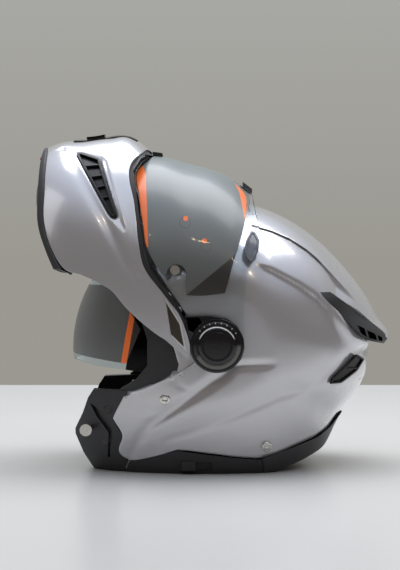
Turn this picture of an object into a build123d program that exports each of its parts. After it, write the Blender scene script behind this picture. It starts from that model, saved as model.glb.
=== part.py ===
from build123d import *
from math import atan2, cos, hypot, pi, radians, sin, sqrt
import os

# A modular helmet with its chin bar and visor raised. It faces -X and +Z is up.
# The origin lies on the table, under the middle of the whole helmet.
os.makedirs("parts", exist_ok=True)

# Driving dimensions in millimetres
crown_radius = 125.0  # pivot line to the top of the head, the size that outlines follow
pivot_x = -0.9
pivot_height = 111.3
shell_side = 113.0  # half the width of the fixed shell at the pivots
shell_wall = 3.5
shell_pole = 43.0  # the sides are flat inside this radius about the pivots
cover_side = 121.5  # half the width of the chin bar
cover_wall = 3.0
frame_depth = 13.0  # thickness of the chin bar's frame at its middle
visor_side = 117.8
visor_wall = 2.2
film_thickness = 0.3
foam_thickness = 26.0
fabric_thickness = 8.0
padding_thickness = 11.0
pad_thickness = 20.0
trim_depth = 9.0
jaw_depth = 12.0
lip_depth = 11.0
lip_stand = 1.5  # the rubber lip stands this far out of the cover
fit_gap = 0.3  # between pieces of one body
swing_gap = 0.5  # between pieces that move past each other
slip_gap = 0.05  # between the film and the visor
pin_gap = 0.08  # round each hinge pin
reach = 170.0  # every cut runs this far to both sides

# Pivot stack
base_radius = 23.0
base_thickness = 2.8
recess_depth = 3.0
boss_radius = 6.0
arm_gap = 0.4
arm_thickness = 1.8
arm_cover_thickness = 1.5
cap_radius = 22.8
cap_rim_height = 2.4
cap_dome_radius = 16.5
cap_dome_height = 5.8
visor_hub_radius = 22.0

# Sun visor, which turns about a line a little lower and further forward
sun_pivot_back = -10.0  # from the main pivot, along the helmet
sun_pivot_drop = -7.0
sun_radius = 119.0
sun_side = 99.0
sun_pole = 30.0
sun_wall = 2.0
sun_hub_radius = 8.0
sun_pin_radius = 3.0
sun_room = 1.5

# Fasteners and small pieces
rivet_radius = 5.2
rivet_sink = 0.2
screw_radius = 3.4
striker_radius = 3.0
striker_length = 10.0
striker_head_radius = 5.2
striker_head_height = 2.4
chin_swing = 64.0
jaw_gap_half = 48.0  # half the free width between the two jaw frames
slider_length = 12.0
slider_height = 8.0
slider_travel = 14.0
slider_depth = 3.0
screw_depth = 8.0
screw_sink = 0.5
frame_rim = 9.0
vent_gap_half = 1.5
vent_sink = 0.8
cell_margin_share = 0.18
cap_ring_radius = 14.0
cap_ring_width = 1.4
cap_ring_depth = 0.8
cap_slot_length = 9.0
cap_slot_width = 2.6
channel_width = 4.0
channel_depth = 3.0
liner_channel_places = [-40.0, -14.0, 14.0, 40.0]  # from the middle plane
valley_depth = 2.6
sun_sweep_start = 74.0
sun_sweep_angle = 133.0
sun_start = 140.0
sun_spread = 60.0
spoiler_lift = 1.5
front_start = 105.0
button_width = 20.0
button_height = 6.0
button_length = 10.0
button_travel = 4.0
button_round = 1.2
button_angle = 133.0
button_radius = 225.0
hook_peg_length = 10.0
button_room = 0.5
hook_inner = 79.0  # the latch hooks' half width from the middle plane
hook_thickness = 4.0
hook_width = 6.0
hook_length = 26.0
hook_pin_radius = 2.0
vent_plate_half = 22.0
vent_plate_height = 0.8
vent_slider_half = 13.0
vent_slider_height = 2.6
tab_half = 14.0
tab_height = 3.5
lens_pin_radius = 4.0
lens_pin_length = 4.0
padding_half = 70.0
badge_height = 0.5
strap_width = 20.0
strap_thickness = 1.8
strap_x = 35.0
buckle_width = 24.0
buckle_length = 24.0
buckle_height = 7.0
buckle_wall = 2.0
tongue_width = 15.0
tongue_length = 28.0
tongue_reach = 6.5
tongue_thickness = 1.6
lever_length = 20.0
lever_thickness = 2.0

# Outlines in the side view, as shares of the crown radius measured from the pivot
shell_radius_shares = [
    (-174, 1.15), (-165, 1.22), (-155, 1.31), (-145, 1.36), (-135, 1.36), (-120, 1.33),
    (-105, 1.29), (-90, 1.26), (-75, 1.24), (-64, 1.21), (-53, 1.13), (-42, 1.085),
    (-31, 1.05), (-22, 1.096), (-15, 1.12), (-6, 1.125), (8, 1.11), (18, 1.07),
    (30, 1.04), (43, 1.015), (56, 1.002), (70, 0.998), (90, 1.012), (108, 1.03),
    (125, 1.042), (140, 1.053), (150, 1.080), (160, 1.115), (170, 1.14), (180, 1.15),
]
spoiler_radius_shares = [
    (-12, 1.13), (-3, 1.21), (0, 1.257), (8, 1.185), (17, 1.13), (28, 1.075),
    (43, 1.034), (56, 1.018), (67, 1.012), (77, 1.008), (86, 1.004),
]
cover_radius_shares = [
    (104, 1.36), (108.7, 1.427), (110.4, 1.508), (113.1, 1.598), (117.7, 1.655),
    (123.2, 1.725), (128.2, 1.815), (132, 1.85), (140, 1.86), (147, 1.82), (155, 1.74),
    (165, 1.60), (180, 1.44), (200, 1.28), (215, 1.20),
]
visor_radius_shares = [
    (0, 0.86), (30, 0.95), (50, 1.012), (62, 1.053), (76, 1.090), (83, 1.158), (90, 1.219),
    (99, 1.29), (107, 1.386), (113, 1.44), (120, 1.49), (130, 1.52), (145, 1.52), (165, 1.46), (190, 1.36),
]
shell_edge_shares = [
    (-1.25, 0.56), (-0.915, 0.534), (-0.779, 0.534), (-0.619, 0.454), (-0.459, 0.294),
    (-0.339, 0.110), (-0.257, -0.126), (-0.284, -0.222), (-0.568, -0.341), (-0.631, -0.350),
    (-0.707, -0.502), (-0.644, -0.622), (-0.668, -0.744), (-0.604, -0.810), (-0.267, -0.721),
    (0.090, -0.768), (0.285, -0.789), (0.710, -0.658), (0.814, -0.599), (0.883, -0.530),
    (1.40, -0.36), (1.40, 1.40), (-1.25, 1.40),
]
jaw_edge_shares = [
    (-0.844, -0.310), (-0.883, -0.369), (-0.922, -0.476), (-0.981, -0.594), (-0.981, -0.632),
    (-0.926, -0.770), (-0.854, -0.8904), (-0.640, -0.8904), (-0.600, -0.800), (-0.500, -0.760),
    (-0.500, -0.310),
]
cover_edge_shares = [
    (-0.194, -0.091), (-0.185, -0.060), (-0.225, 0.146), (-0.355, 0.342), (-0.486, 0.518),
    (-0.526, 0.679), (-0.560, 0.954), (-0.602, 1.213), (-0.546, 1.303), (-0.459, 1.352),
    (-0.459, 1.60), (-1.35, 1.60), (-1.200, 1.356), (-1.193, 1.063), (-1.182, 0.810),
    (-1.135, 0.665), (-1.025, 0.507), (-0.908, 0.470), (-0.801, 0.422), (-0.719, 0.377),
    (-0.618, 0.263), (-0.446, 0.108),
]
frame_edge_shares = [
    (-0.215, -0.060), (-0.10, 0.05), (-0.10, 0.200), (-0.196, 0.200), (-0.316, 0.372), (-0.432, 0.540),
    (-0.475, 0.690), (-0.508, 0.954), (-0.545, 1.180), (-0.505, 1.255), (-0.500, 1.318),
    (-0.380, 1.335), (-0.380, 1.60), (-1.35, 1.60), (-1.190, 1.350), (-1.183, 1.063), (-1.172, 0.812),
    (-1.128, 0.675), (-1.022, 0.520), (-0.905, 0.483), (-0.798, 0.435), (-0.712, 0.390),
    (-0.612, 0.276), (-0.446, 0.125),
]
lip_edge_shares = [
    (-1.10, 1.60), (-1.148, 1.434), (-1.234, 1.361), (-1.240, 1.307), (-1.242, 1.033),
    (-1.230, 0.806), (-1.174, 0.642), (-1.078, 0.507), (-1.028, 0.507),
]
lip_inner_shares = [(-1.00, 0.54), (-1.06, 0.80), (-1.08, 1.30), (-0.98, 1.60)]
visor_edge_shares = [
    (-0.205, 0.100), (-0.205, 0.170), (-0.325, 0.360), (-0.452, 0.535), (-0.495, 0.690), (-0.530, 0.954),
    (-0.568, 1.190), (-0.520, 1.280), (-0.440, 1.325), (-0.440, 1.60), (0.262, 1.60), (0.262, 1.051),
    (0.272, 0.924), (0.293, 0.810), (0.290, 0.706), (0.235, 0.566), (0.198, 0.440),
    (0.186, 0.317), (0.176, 0.020),
]
film_edge_shares = [
    (-0.295, 0.346), (-0.345, 0.425), (-0.437, 0.545), (-0.480, 0.690), (-0.514, 0.954), (-0.547, 1.170),
    (-0.490, 1.262), (-0.430, 1.300),
    (-0.430, 1.60), (0.141, 1.60), (0.141, 1.144), (0.186, 1.062), (0.210, 0.956),
    (0.163, 0.783), (0.117, 0.562), (0.062, 0.346), (-0.194, 0.346),
]


def place(shares):
    """Side view points in millimetres from shares of the crown radius."""
    return [(pivot_x + x * crown_radius, pivot_height + z * crown_radius) for x, z in shares]


def fan_plane(angle):
    """A plane through the pivot line, its X axis pointing away from the line at this angle."""
    out = Vector(cos(radians(angle)), 0, sin(radians(angle)))
    return Plane(origin=(pivot_x, 0, pivot_height), x_dir=out, z_dir=out.cross(Vector(0, 1, 0)))


def fan_form(radius_shares, side, inset=0.0):
    """Half ellipses on planes through the pivot line, lofted into one rounded solid with a flat hub."""
    sections = []
    for angle, share in radius_shares:
        with BuildSketch(fan_plane(angle)) as section:
            with BuildLine():
                deep = share * crown_radius - inset - shell_pole
                arch = EllipticalCenterArc((shell_pole, 0), deep, side - inset, start_angle=-90, arc_size=180)
                Line(arch @ 1, arch @ 0)
            make_face()
        sections.append(section.sketch)
    loft(sections)
    pivot_disc(shell_pole + fit_gap, 0, side - inset - slip_gap)


def fan_wall(radius_shares, side, outer, inner, inner_side=0.0, span=(-360, 360)):
    """A wall between two fan forms, lofted through half rings, with a flat disc at each pivot."""
    inner_half = inner_side or side - inner
    outer_half = side - outer
    sections = []
    for angle, share in radius_shares:
        if span[0] <= angle <= span[1]:
            with BuildSketch(fan_plane(angle)) as section:
                with BuildLine():
                    deep = share * crown_radius - shell_pole
                    big = EllipticalCenterArc((shell_pole, 0), deep - outer, outer_half, start_angle=-90, arc_size=180)
                    small = EllipticalCenterArc((shell_pole, 0), deep - inner, inner_half, start_angle=-90, arc_size=180)
                    Line(big @ 1, small @ 1)
                    Line(big @ 0, small @ 0)
                make_face()
            sections.append(section.sketch)
    loft(sections)
    pivot_disc(shell_pole + fit_gap, inner_half - slip_gap, outer_half - slip_gap)


def side_cut(shares, grow=0.0, hub=0.0, mode=Mode.INTERSECT):
    """A closed side view outline, with a round hub or grown by a clearance, run through the whole width."""
    with BuildSketch(Plane.XZ) as outline:
        with BuildLine():
            Polyline(place(shares), close=True)
        make_face()
        if hub:
            with Locations((pivot_x, pivot_height)):
                Circle(hub)
        if grow:
            offset(amount=grow, kind=Kind.INTERSECTION)
    extrude(outline.sketch, amount=reach, both=True, mode=mode)


def pivot_disc(radius, inner, outer, hole=0.0, mode=Mode.ADD):
    """A disc on the pivot line at both sides, from the inner to the outer half width."""
    for side in (-1, 1):
        with BuildSketch(Plane.XZ.offset(-side * inner)) as disc:
            with Locations((pivot_x, pivot_height)):
                Circle(radius)
                if hole:
                    Circle(hole, mode=Mode.SUBTRACT)
        extrude(disc.sketch, amount=-side * (outer - inner), mode=mode)


def half_width(radius_shares, side, x, z):
    """Half width of a fan form at a side view point, in millimetres."""
    along, up = x - pivot_x, z - pivot_height
    angle = atan2(up, along) * 180 / pi
    if angle < radius_shares[0][0]:
        angle = radius_shares[0][0]
    before = [row for row in radius_shares if row[0] <= angle][-1]
    after = [row for row in radius_shares if row[0] >= angle][0]
    part = (angle - before[0]) / (after[0] - before[0]) if after[0] > before[0] else 0
    radius = (before[1] + (after[1] - before[1]) * part) * crown_radius
    share = max(0, hypot(along, up) - shell_pole) / (radius - shell_pole)
    return side * sqrt(1 - share**2)


def pegs(places, radius, inner, outer, mode=Mode.ADD, form=None):
    """Round pegs along Y on both sides, each from inner to outer, measured from a form's surface."""
    shares, form_side = form or (shell_radius_shares, shell_side)
    for x, z in places:
        surface = half_width(shares, form_side, x, z)
        for side in (-1, 1):
            with BuildSketch(Plane.XZ.offset(-side * (surface + inner))) as peg:
                with Locations((x, z)):
                    Circle(radius)
            extrude(peg.sketch, amount=-side * (outer - inner), mode=mode)


def keep_side(side):
    """Cuts the active piece at the middle plane and keeps one half."""
    with Locations((pivot_x, -side * reach, pivot_height)):
        Box(4 * reach, 2 * reach, 4 * reach, mode=Mode.SUBTRACT)


def sun_plane(angle):
    """A plane through the sun visor's pivot line."""
    out = Vector(cos(radians(angle)), 0, sin(radians(angle)))
    origin = (pivot_x + sun_pivot_back, 0, pivot_height + sun_pivot_drop)
    return Plane(origin=origin, x_dir=out, z_dir=out.cross(Vector(0, 1, 0)))


def sun_disc(radius, inner, outer, mode=Mode.ADD):
    """A disc on the sun visor's pivot line at both sides."""
    for side in (-1, 1):
        with BuildSketch(Plane.XZ.offset(-side * inner)) as disc:
            with Locations((pivot_x + sun_pivot_back, pivot_height + sun_pivot_drop)):
                Circle(radius)
        extrude(disc.sketch, amount=-side * (outer - inner), mode=mode)


def slider_block(grow, length, mode=Mode.ADD):
    """The sun visor's slider on the left lower edge, or the channel that it runs in."""
    x, z = slider_place
    surface = half_width(shell_radius_shares, shell_side, x, z)
    with Locations((x - grow, -surface, z)):
        Box(
            length + 2 * grow, 2 * slider_depth + 2 * grow, slider_height + 2 * grow,
            align=(Align.MIN, Align.CENTER, Align.CENTER), mode=mode
        )


def vent_cell(low_share, high_share):
    """One cell of the side vent, between two shares of the way from its wide end to its tip."""
    wide_front, wide_rear, _, tip_rear, tip_front = side_vent_shares
    corners = []
    for front, along in ((1, low_share), (1, high_share), (0, high_share), (0, low_share)):
        front_x, front_z = [a + (b - a) * along for a, b in zip(wide_front, tip_front)]
        rear_x, rear_z = [a + (b - a) * along for a, b in zip(wide_rear, tip_rear)]
        across = cell_margin_share if front else 1 - cell_margin_share
        corners.append((front_x + (rear_x - front_x) * across, front_z + (rear_z - front_z) * across))
    return corners


def button_box(grow, mode=Mode.ADD):
    """The release button in the lip, or the room that it needs to be pressed in."""
    travel = button_travel if grow else 0
    with Locations(fan_plane(button_angle)):
        with Locations((button_radius, 0, -travel / 2)):
            Box(button_height + 2 * grow, button_width + 2 * grow, button_length + travel + 2 * grow, mode=mode)


def hook_pegs():
    """Short pegs inside the chin frame that carry the latch hooks."""
    for side in (-1, 1):
        with BuildSketch(Plane.XZ.offset(-side * (hook_inner - slip_gap))) as peg:
            with Locations(hook_pivot):
                Circle(hook_pin_radius)
        extrude(peg.sketch, amount=-side * (hook_thickness + hook_peg_length))


sun_axis = Axis((pivot_x + sun_pivot_back, 0, pivot_height + sun_pivot_drop), (0, 1, 0))
rivet_places = place([(-0.350, -0.365), (0.342, -0.697)])
jaw_screw_places = place([(-0.741, -0.444), (-0.772, -0.675)])
slider_place = place([(-0.24, -0.83)])[0]
striker_place = place([(-0.897, -0.591)])[0]
upper_vent_shares = [
    (0.709, 0.354), (0.783, 0.356), (1.007, 0.202), (1.228, 0.015), (1.189, -0.016), (1.031, 0.023), (0.954, 0.096),
    (0.856, 0.199),
]
upper_mouth_shares = [
    [(0.975, 0.125), (1.030, 0.100), (1.045, 0.040), (1.000, 0.070)],
    [(1.048, 0.088), (1.115, 0.058), (1.125, 0.014), (1.062, 0.032)],
    [(1.132, 0.050), (1.172, 0.030), (1.176, 0.002), (1.142, 0.010)],
]
lower_mouth_shares = [(0.905, -0.150), (0.975, -0.095), (1.020, -0.120), (0.975, -0.172), (0.90, -0.170)]
valley_shares = [
    (-0.868, -0.406), (-0.809, -0.442), (-0.756, -0.501), (-0.717, -0.562), (-0.709, -0.635), (-0.729, -0.701),
    (-0.737, -0.786), (-0.752, -0.786), (-0.745, -0.700), (-0.739, -0.609), (-0.775, -0.556), (-0.819, -0.501),
]
cheek_channel_shares = [(-0.24, -0.08), (-0.20, -0.34), (-0.26, -0.60)]
cell_span_shares = [(0.06, 0.26), (0.31, 0.47), (0.52, 0.68), (0.73, 0.92)]
lower_vent_shares = [(0.792, -0.240), (0.981, -0.081), (1.045, -0.121), (0.984, -0.198), (0.861, -0.274), (0.778, -0.275)]
spoiler_edge_shares = [
    (0.235, 1.25), (0.235, 0.960), (0.294, 0.801), (0.519, 0.717), (0.660, 0.625), (0.760, 0.350), (0.980, 0.185),
    (1.205, 0.010), (1.60, 0.016), (1.60, 1.25),
]
port_frame_shares = [
    (-1.35, 0.62), (-1.35, 0.500), (-0.93, 0.485), (-0.80, 0.480), (-0.66, 0.405), (-0.54, 0.245), (-0.47, 0.04),
    (-0.47, -0.14), (-0.55, -0.235), (-0.655, -0.300), (-0.60, -0.37), (-0.20, -0.30), (-0.20, 0.2), (-0.40, 0.62),
]
foam_edge_shares = [
    (-1.2, 0.575), (-0.83, 0.565), (-0.60, 0.480), (-0.44, 0.300), (-0.32, 0.10), (-0.235, -0.126), (-0.265, -0.24),
    (-0.55, -0.37), (-0.60, -0.66), (-0.25, -0.665), (0.10, -0.680), (0.30, -0.690), (0.70, -0.560), (0.80, -0.480), (1.4, -0.40),
    (1.4, 1.4), (-1.2, 1.4),
]
liner_edge_shares = [
    (-1.2, 0.60), (-0.80, 0.60), (-0.50, 0.40), (-0.30, 0.10), (0.05, 0.02), (0.30, -0.10), (0.62, -0.18), (1.4, -0.18),
    (1.4, 1.4), (-1.2, 1.4),
]
cheek_edge_shares = [
    (-0.50, -0.38), (-0.56, -0.63), (-0.20, -0.645), (0.09, -0.66), (0.13, -0.40), (0.06, -0.06), (-0.14, 0.02),
    (-0.28, -0.05), (-0.32, -0.22),
]
neck_edge_shares = [(0.26, -0.675), (0.66, -0.560), (0.78, -0.460), (1.3, -0.38), (1.3, -0.21), (0.62, -0.21), (0.36, -0.30)]
trim_edge_shares = [
    (-0.635, -0.8904), (-0.595, -0.800), (-0.45, -0.70), (0.20, -0.70), (0.305, -0.78), (0.325, -0.8904),
]
rear_trim_shares = [
    (0.331, -0.8904), (0.311, -0.78), (0.40, -0.62), (0.80, -0.50), (0.985, -0.500), (1.085, -0.545), (1.065, -0.600),
    (0.874, -0.684), (0.750, -0.768), (0.614, -0.820), (0.425, -0.878),
]
side_vent_shares = [(-0.980, 1.324), (-0.839, 1.281), (-0.824, 1.252), (-0.684, 0.871), (-0.711, 0.870)]
badge_shares = [(-0.345, 0.318), (-0.240, 0.150), (-0.203, -0.040), (-0.305, 0.060)]
arm_cover_shares = [(-0.221, 0.201), (0.107, 0.174), (0.16, 0.0), (0.0, -0.16), (-0.150, -0.095), (-0.172, -0.060), (-0.212, 0.146)]
sun_edge_shares = [
    (-1.20, 0.50), (-1.20, -0.10), (-0.980, -0.134), (-0.815, -0.162), (-0.640, -0.175), (-0.498, -0.194),
    (-0.452, -0.148), (-0.414, 0.0), (-0.451, 0.073), (-0.60, 0.35), (-0.80, 0.50),
]
sun_arm_shares = [(-0.47, -0.12), (-0.12, -0.085), (-0.02, -0.056), (-0.08, 0.0), (-0.47, 0.05)]
sun_film_shares = [(-1.20, 0.40), (-1.20, -0.06), (-0.95, -0.095), (-0.62, -0.135), (-0.52, 0.10), (-0.70, 0.40)]

lens_pin_places = place([(-0.282, 0.508)])
top_tab_shares = [(0.195, 0.98), (0.262, 0.98), (0.262, 1.20), (0.195, 1.20)]
lower_tab_shares = [(-0.455, 1.30), (-0.385, 1.30), (-0.385, 1.60), (-0.455, 1.60)]
vent_plate_shares = [(-1.02, 1.20), (-0.56, 1.20), (-0.56, 1.65), (-1.02, 1.65)]
vent_slider_shares = [(-0.93, 1.20), (-0.80, 1.20), (-0.80, 1.65), (-0.93, 1.65)]
padding_shares = [(-1.12, 0.62), (-1.15, 1.25), (-1.30, 1.60), (-0.62, 1.60), (-0.68, 1.10), (-0.82, 0.62)]
strap_shares = [(-0.690, 0.189), (-0.620, 0.150), (-0.420, 0.096), (-0.150, 0.080), (-0.100, 0.080)]
buckle_floor_share = 0.052
front_radius_shares = [row for row in shell_radius_shares if row[0] >= front_start]
front_radius_shares += [(angle + 360, share) for angle, share in shell_radius_shares if angle <= -front_start]

visor_surface = (visor_radius_shares, visor_side)

# The latch hooks lie beside the strikers once the chin bar has swung down
striker_angle = atan2(striker_place[1] - pivot_height, striker_place[0] - pivot_x) * 180 / pi + 360
hook_angle = striker_angle - chin_swing
hook_radius = hypot(striker_place[0] - pivot_x, striker_place[1] - pivot_height)
hook_radius += striker_radius + swing_gap + hook_width / 2
hook_place = fan_plane(hook_angle)
hook_pivot_point = hook_place.origin + hook_place.x_dir * hook_radius - hook_place.z_dir * hook_length / 2
hook_pivot = (hook_pivot_point.X, hook_pivot_point.Z)
hook_points = []
for along, across in ((0, -0.5), (1, -0.5), (1, 0.5), (0, 0.5)):
    corner = hook_pivot_point + hook_place.z_dir * hook_length * along + hook_place.x_dir * hook_width * across
    hook_points.append((corner.X, corner.Z))

# Room that the closed visor needs inside the chin bar
with BuildPart() as visor_inner:
    fan_form(visor_radius_shares, visor_side, visor_wall + swing_gap)

with BuildPart() as visor_room:
    side_cut(visor_edge_shares, grow=2 * swing_gap, mode=Mode.ADD)
    pivot_disc(visor_hub_radius + 2 * swing_gap, 0, reach)
    add(visor_inner.part, mode=Mode.SUBTRACT)

with BuildPart() as outer_shell:
    fan_wall(shell_radius_shares, shell_side, 0, shell_wall)
    pivot_disc(base_radius + shell_wall, shell_side - shell_wall - recess_depth, shell_side - shell_wall)
    side_cut(shell_edge_shares)
    pivot_disc(base_radius + fit_gap, shell_side - recess_depth, shell_side + shell_wall, mode=Mode.SUBTRACT)
    pivot_disc(boss_radius + fit_gap, shell_side - 3 * shell_wall, shell_side, mode=Mode.SUBTRACT)
    side_cut(lower_vent_shares, mode=Mode.SUBTRACT)
    pegs(rivet_places, rivet_radius + fit_gap, -3 * shell_wall, shell_wall, mode=Mode.SUBTRACT)
outer_shell.part.label = "outer_shell"
export_step(outer_shell.part, "parts/outer_shell.step")

with BuildPart() as under_spoiler:
    fan_form(shell_radius_shares, shell_side, -fit_gap)

with BuildPart() as crown_spoiler:
    fan_form(spoiler_radius_shares, shell_side + spoiler_lift)
    side_cut(spoiler_edge_shares)
    side_cut(upper_vent_shares, grow=fit_gap, mode=Mode.SUBTRACT)
    add(under_spoiler.part, mode=Mode.SUBTRACT)
crown_spoiler.part.label = "crown_spoiler"
export_step(crown_spoiler.part, "parts/crown_spoiler.step")

foam_inset = shell_wall + fit_gap
pad_inset = foam_inset + foam_thickness + fit_gap
sun_inner = sun_wall + sun_room
with BuildPart() as sun_sweep:
    with BuildSketch(sun_plane(sun_sweep_start)) as section:
        Rectangle(reach, 2 * reach, align=(Align.MIN, Align.CENTER))
        with BuildLine():
            deep = sun_radius - sun_inner - sun_pole
            half = sun_side - sun_inner
            arch = EllipticalCenterArc((sun_pole, 0), deep, half, start_angle=-90, arc_size=180)
            Polyline(arch @ 1, (0, half), (0, -half), arch @ 0)
        make_face(mode=Mode.SUBTRACT)
    revolve(section.sketch, axis=sun_axis, revolution_arc=-sun_sweep_angle)

with BuildPart() as impact_liner:
    fan_wall(shell_radius_shares, shell_side, foam_inset, foam_inset + foam_thickness)
    side_cut(foam_edge_shares)
    pivot_disc(base_radius + shell_wall + fit_gap, shell_side - recess_depth - foam_inset, reach, mode=Mode.SUBTRACT)
    pegs(rivet_places, rivet_radius + fit_gap, -4 * shell_wall, shell_wall, mode=Mode.SUBTRACT)
    add(sun_sweep.part, mode=Mode.SUBTRACT)
    sun_disc(sun_hub_radius + sun_room, sun_side - sun_inner, reach, mode=Mode.SUBTRACT)
impact_liner.part.label = "impact_liner"
export_step(impact_liner.part, "parts/impact_liner.step")

# Sewn channels run over the liner from front to back
with BuildPart() as liner_core:
    fan_form(shell_radius_shares, shell_side, pad_inset + fabric_thickness - channel_depth)

with BuildPart() as liner_channels:
    with Locations(*[(pivot_x, half, pivot_height) for half in liner_channel_places]):
        Box(4 * reach, channel_width, 4 * reach)
    add(liner_core.part, mode=Mode.INTERSECT)

with BuildPart() as comfort_liner:
    fan_wall(shell_radius_shares, shell_side, pad_inset, pad_inset + fabric_thickness)
    side_cut(liner_edge_shares)
    add(liner_channels.part, mode=Mode.SUBTRACT)
comfort_liner.part.label = "comfort_liner"
export_step(comfort_liner.part, "parts/comfort_liner.step")

# The cheek pads' inner faces carry a channel between a front and a rear cushion
with BuildPart() as cheek_pads:
    fan_wall(shell_radius_shares, shell_side, pad_inset, pad_inset + pad_thickness)
    side_cut(cheek_edge_shares)
    channel_half = shell_side - pad_inset - pad_thickness + channel_depth
    with BuildSketch(Plane.XZ) as channels:
        with BuildLine():
            Polyline(place(cheek_channel_shares))
            offset(amount=channel_width / 2)
        make_face()
    extrude(channels.sketch, amount=channel_half, both=True, mode=Mode.SUBTRACT)

for side, name in ((-1, "cheek_pad_left"), (1, "cheek_pad_right")):
    with BuildPart() as cheek_pad:
        add(cheek_pads.part)
        keep_side(side)
    cheek_pad.part.label = name
    export_step(cheek_pad.part, f"parts/{name}.step")

with BuildPart() as neck_roll:
    fan_wall(shell_radius_shares, shell_side, pad_inset, pad_inset + pad_thickness, span=(-90, 10))
    side_cut(neck_edge_shares)
neck_roll.part.label = "neck_roll"
export_step(neck_roll.part, "parts/neck_roll.step")

# A curved valley runs down each jaw frame, between its striker and its screws
with BuildPart() as jaw_valley:
    fan_wall(front_radius_shares, shell_side, -shell_wall, valley_depth)
    side_cut(valley_shares)

with BuildPart() as jaw_frames:
    fan_wall(front_radius_shares, shell_side, 0, jaw_depth)
    side_cut(jaw_edge_shares)
    side_cut(shell_edge_shares, grow=fit_gap, mode=Mode.SUBTRACT)
    with Locations((pivot_x, 0, pivot_height)):
        Box(4 * reach, 2 * jaw_gap_half, 4 * reach, mode=Mode.SUBTRACT)
    add(jaw_valley.part, mode=Mode.SUBTRACT)
    pegs(jaw_screw_places, screw_radius + fit_gap, -screw_depth - fit_gap, shell_wall, mode=Mode.SUBTRACT)
    pegs([striker_place], striker_radius + fit_gap, -screw_depth - fit_gap, shell_wall, mode=Mode.SUBTRACT)

for side, name in ((-1, "jaw_frame_left"), (1, "jaw_frame_right")):
    with BuildPart() as jaw_frame:
        add(jaw_frames.part)
        keep_side(side)
    jaw_frame.part.label = name
    export_step(jaw_frame.part, f"parts/{name}.step")

with BuildPart() as jaw_screws:
    pegs(jaw_screw_places, screw_radius, -screw_depth, -screw_sink)
jaw_screws.part.label = "jaw_screws"
export_step(jaw_screws.part, "parts/jaw_screws.step")

with BuildPart() as latch_strikers:
    pegs([striker_place], striker_radius, -screw_depth, striker_length)
    pegs([striker_place], striker_head_radius, striker_length, striker_length + striker_head_height)
latch_strikers.part.label = "latch_strikers"
export_step(latch_strikers.part, "parts/latch_strikers.step")

with BuildPart() as port_frame:
    fan_wall(front_radius_shares, shell_side, swing_gap, frame_rim)
    side_cut(port_frame_shares)
    side_cut(shell_edge_shares, grow=fit_gap, mode=Mode.SUBTRACT)
    side_cut(jaw_edge_shares, grow=fit_gap, mode=Mode.SUBTRACT)
    pivot_disc(base_radius + shell_wall + fit_gap, 0, reach, mode=Mode.SUBTRACT)
port_frame.part.label = "port_frame"
export_step(port_frame.part, "parts/port_frame.step")

with BuildPart() as edge_trim:
    fan_wall(shell_radius_shares, shell_side, 0, trim_depth, span=(-160, -40))
    side_cut(trim_edge_shares)
    side_cut(shell_edge_shares, grow=fit_gap, mode=Mode.SUBTRACT)
    side_cut(jaw_edge_shares, grow=fit_gap, mode=Mode.SUBTRACT)
    slider_block(fit_gap, slider_travel + slider_length, mode=Mode.SUBTRACT)
edge_trim.part.label = "edge_trim"
export_step(edge_trim.part, "parts/edge_trim.step")

with BuildPart() as sun_visor_slider:
    slider_block(0, slider_length)
sun_visor_slider.part.label = "sun_visor_slider"
export_step(sun_visor_slider.part, "parts/sun_visor_slider.step")

with BuildPart() as rear_trim:
    fan_wall(shell_radius_shares, shell_side, -fit_gap, trim_depth, span=(-110, 0))
    side_cut(rear_trim_shares)
    side_cut(shell_edge_shares, grow=fit_gap, mode=Mode.SUBTRACT)
rear_trim.part.label = "rear_trim"
export_step(rear_trim.part, "parts/rear_trim.step")

with BuildPart() as strap_rivets:
    pegs(rivet_places, rivet_radius, -2 * shell_wall, -rivet_sink)
strap_rivets.part.label = "strap_rivets"
export_step(strap_rivets.part, "parts/strap_rivets.step")

base_face = shell_side - recess_depth
arm_face = shell_side + arm_gap
for side, name in ((-1, "pivot_base_left"), (1, "pivot_base_right")):
    with BuildPart() as pivot_base:
        pivot_disc(base_radius, base_face, base_face + base_thickness)
        pivot_disc(boss_radius, base_face - shell_wall - fit_gap, visor_side + fit_gap)
        keep_side(side)
    pivot_base.part.label = name
    export_step(pivot_base.part, f"parts/{name}.step")

# The upper vents fill the wedge between the spoiler's flank and the shell, with ribbed mouths at the rear
with BuildPart() as upper_vents:
    fan_form(spoiler_radius_shares, shell_side + spoiler_lift, vent_sink)
    side_cut(upper_vent_shares)
    add(under_spoiler.part, mode=Mode.SUBTRACT)
    for shares in upper_mouth_shares:
        side_cut(shares, mode=Mode.SUBTRACT)
    with Locations((pivot_x, 0, pivot_height)):
        Box(4 * reach, 2 * vent_gap_half, 4 * reach, mode=Mode.SUBTRACT)

with BuildPart() as lower_vents:
    fan_wall(shell_radius_shares, shell_side, 0, shell_wall - swing_gap, span=(-40, 45))
    side_cut(lower_vent_shares, grow=-fit_gap)
    side_cut(lower_mouth_shares, mode=Mode.SUBTRACT)

for side, end in ((-1, "left"), (1, "right")):
    with BuildPart() as upper_vent:
        add(upper_vents.part)
        keep_side(side)
    upper_vent.part.label = f"rear_upper_vent_{end}"
    export_step(upper_vent.part, f"parts/rear_upper_vent_{end}.step")
    with BuildPart() as lower_vent:
        add(lower_vents.part)
        keep_side(side)
    lower_vent.part.label = f"rear_lower_vent_{end}"
    export_step(lower_vent.part, f"parts/rear_lower_vent_{end}.step")

with BuildPart() as chin_cover:
    fan_wall(cover_radius_shares, cover_side, 0, cover_wall)
    side_cut(cover_edge_shares)
    side_cut(side_vent_shares, mode=Mode.SUBTRACT)
    button_box(button_room, mode=Mode.SUBTRACT)
chin_cover.part.label = "chin_cover"
export_step(chin_cover.part, "parts/chin_cover.step")

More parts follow.
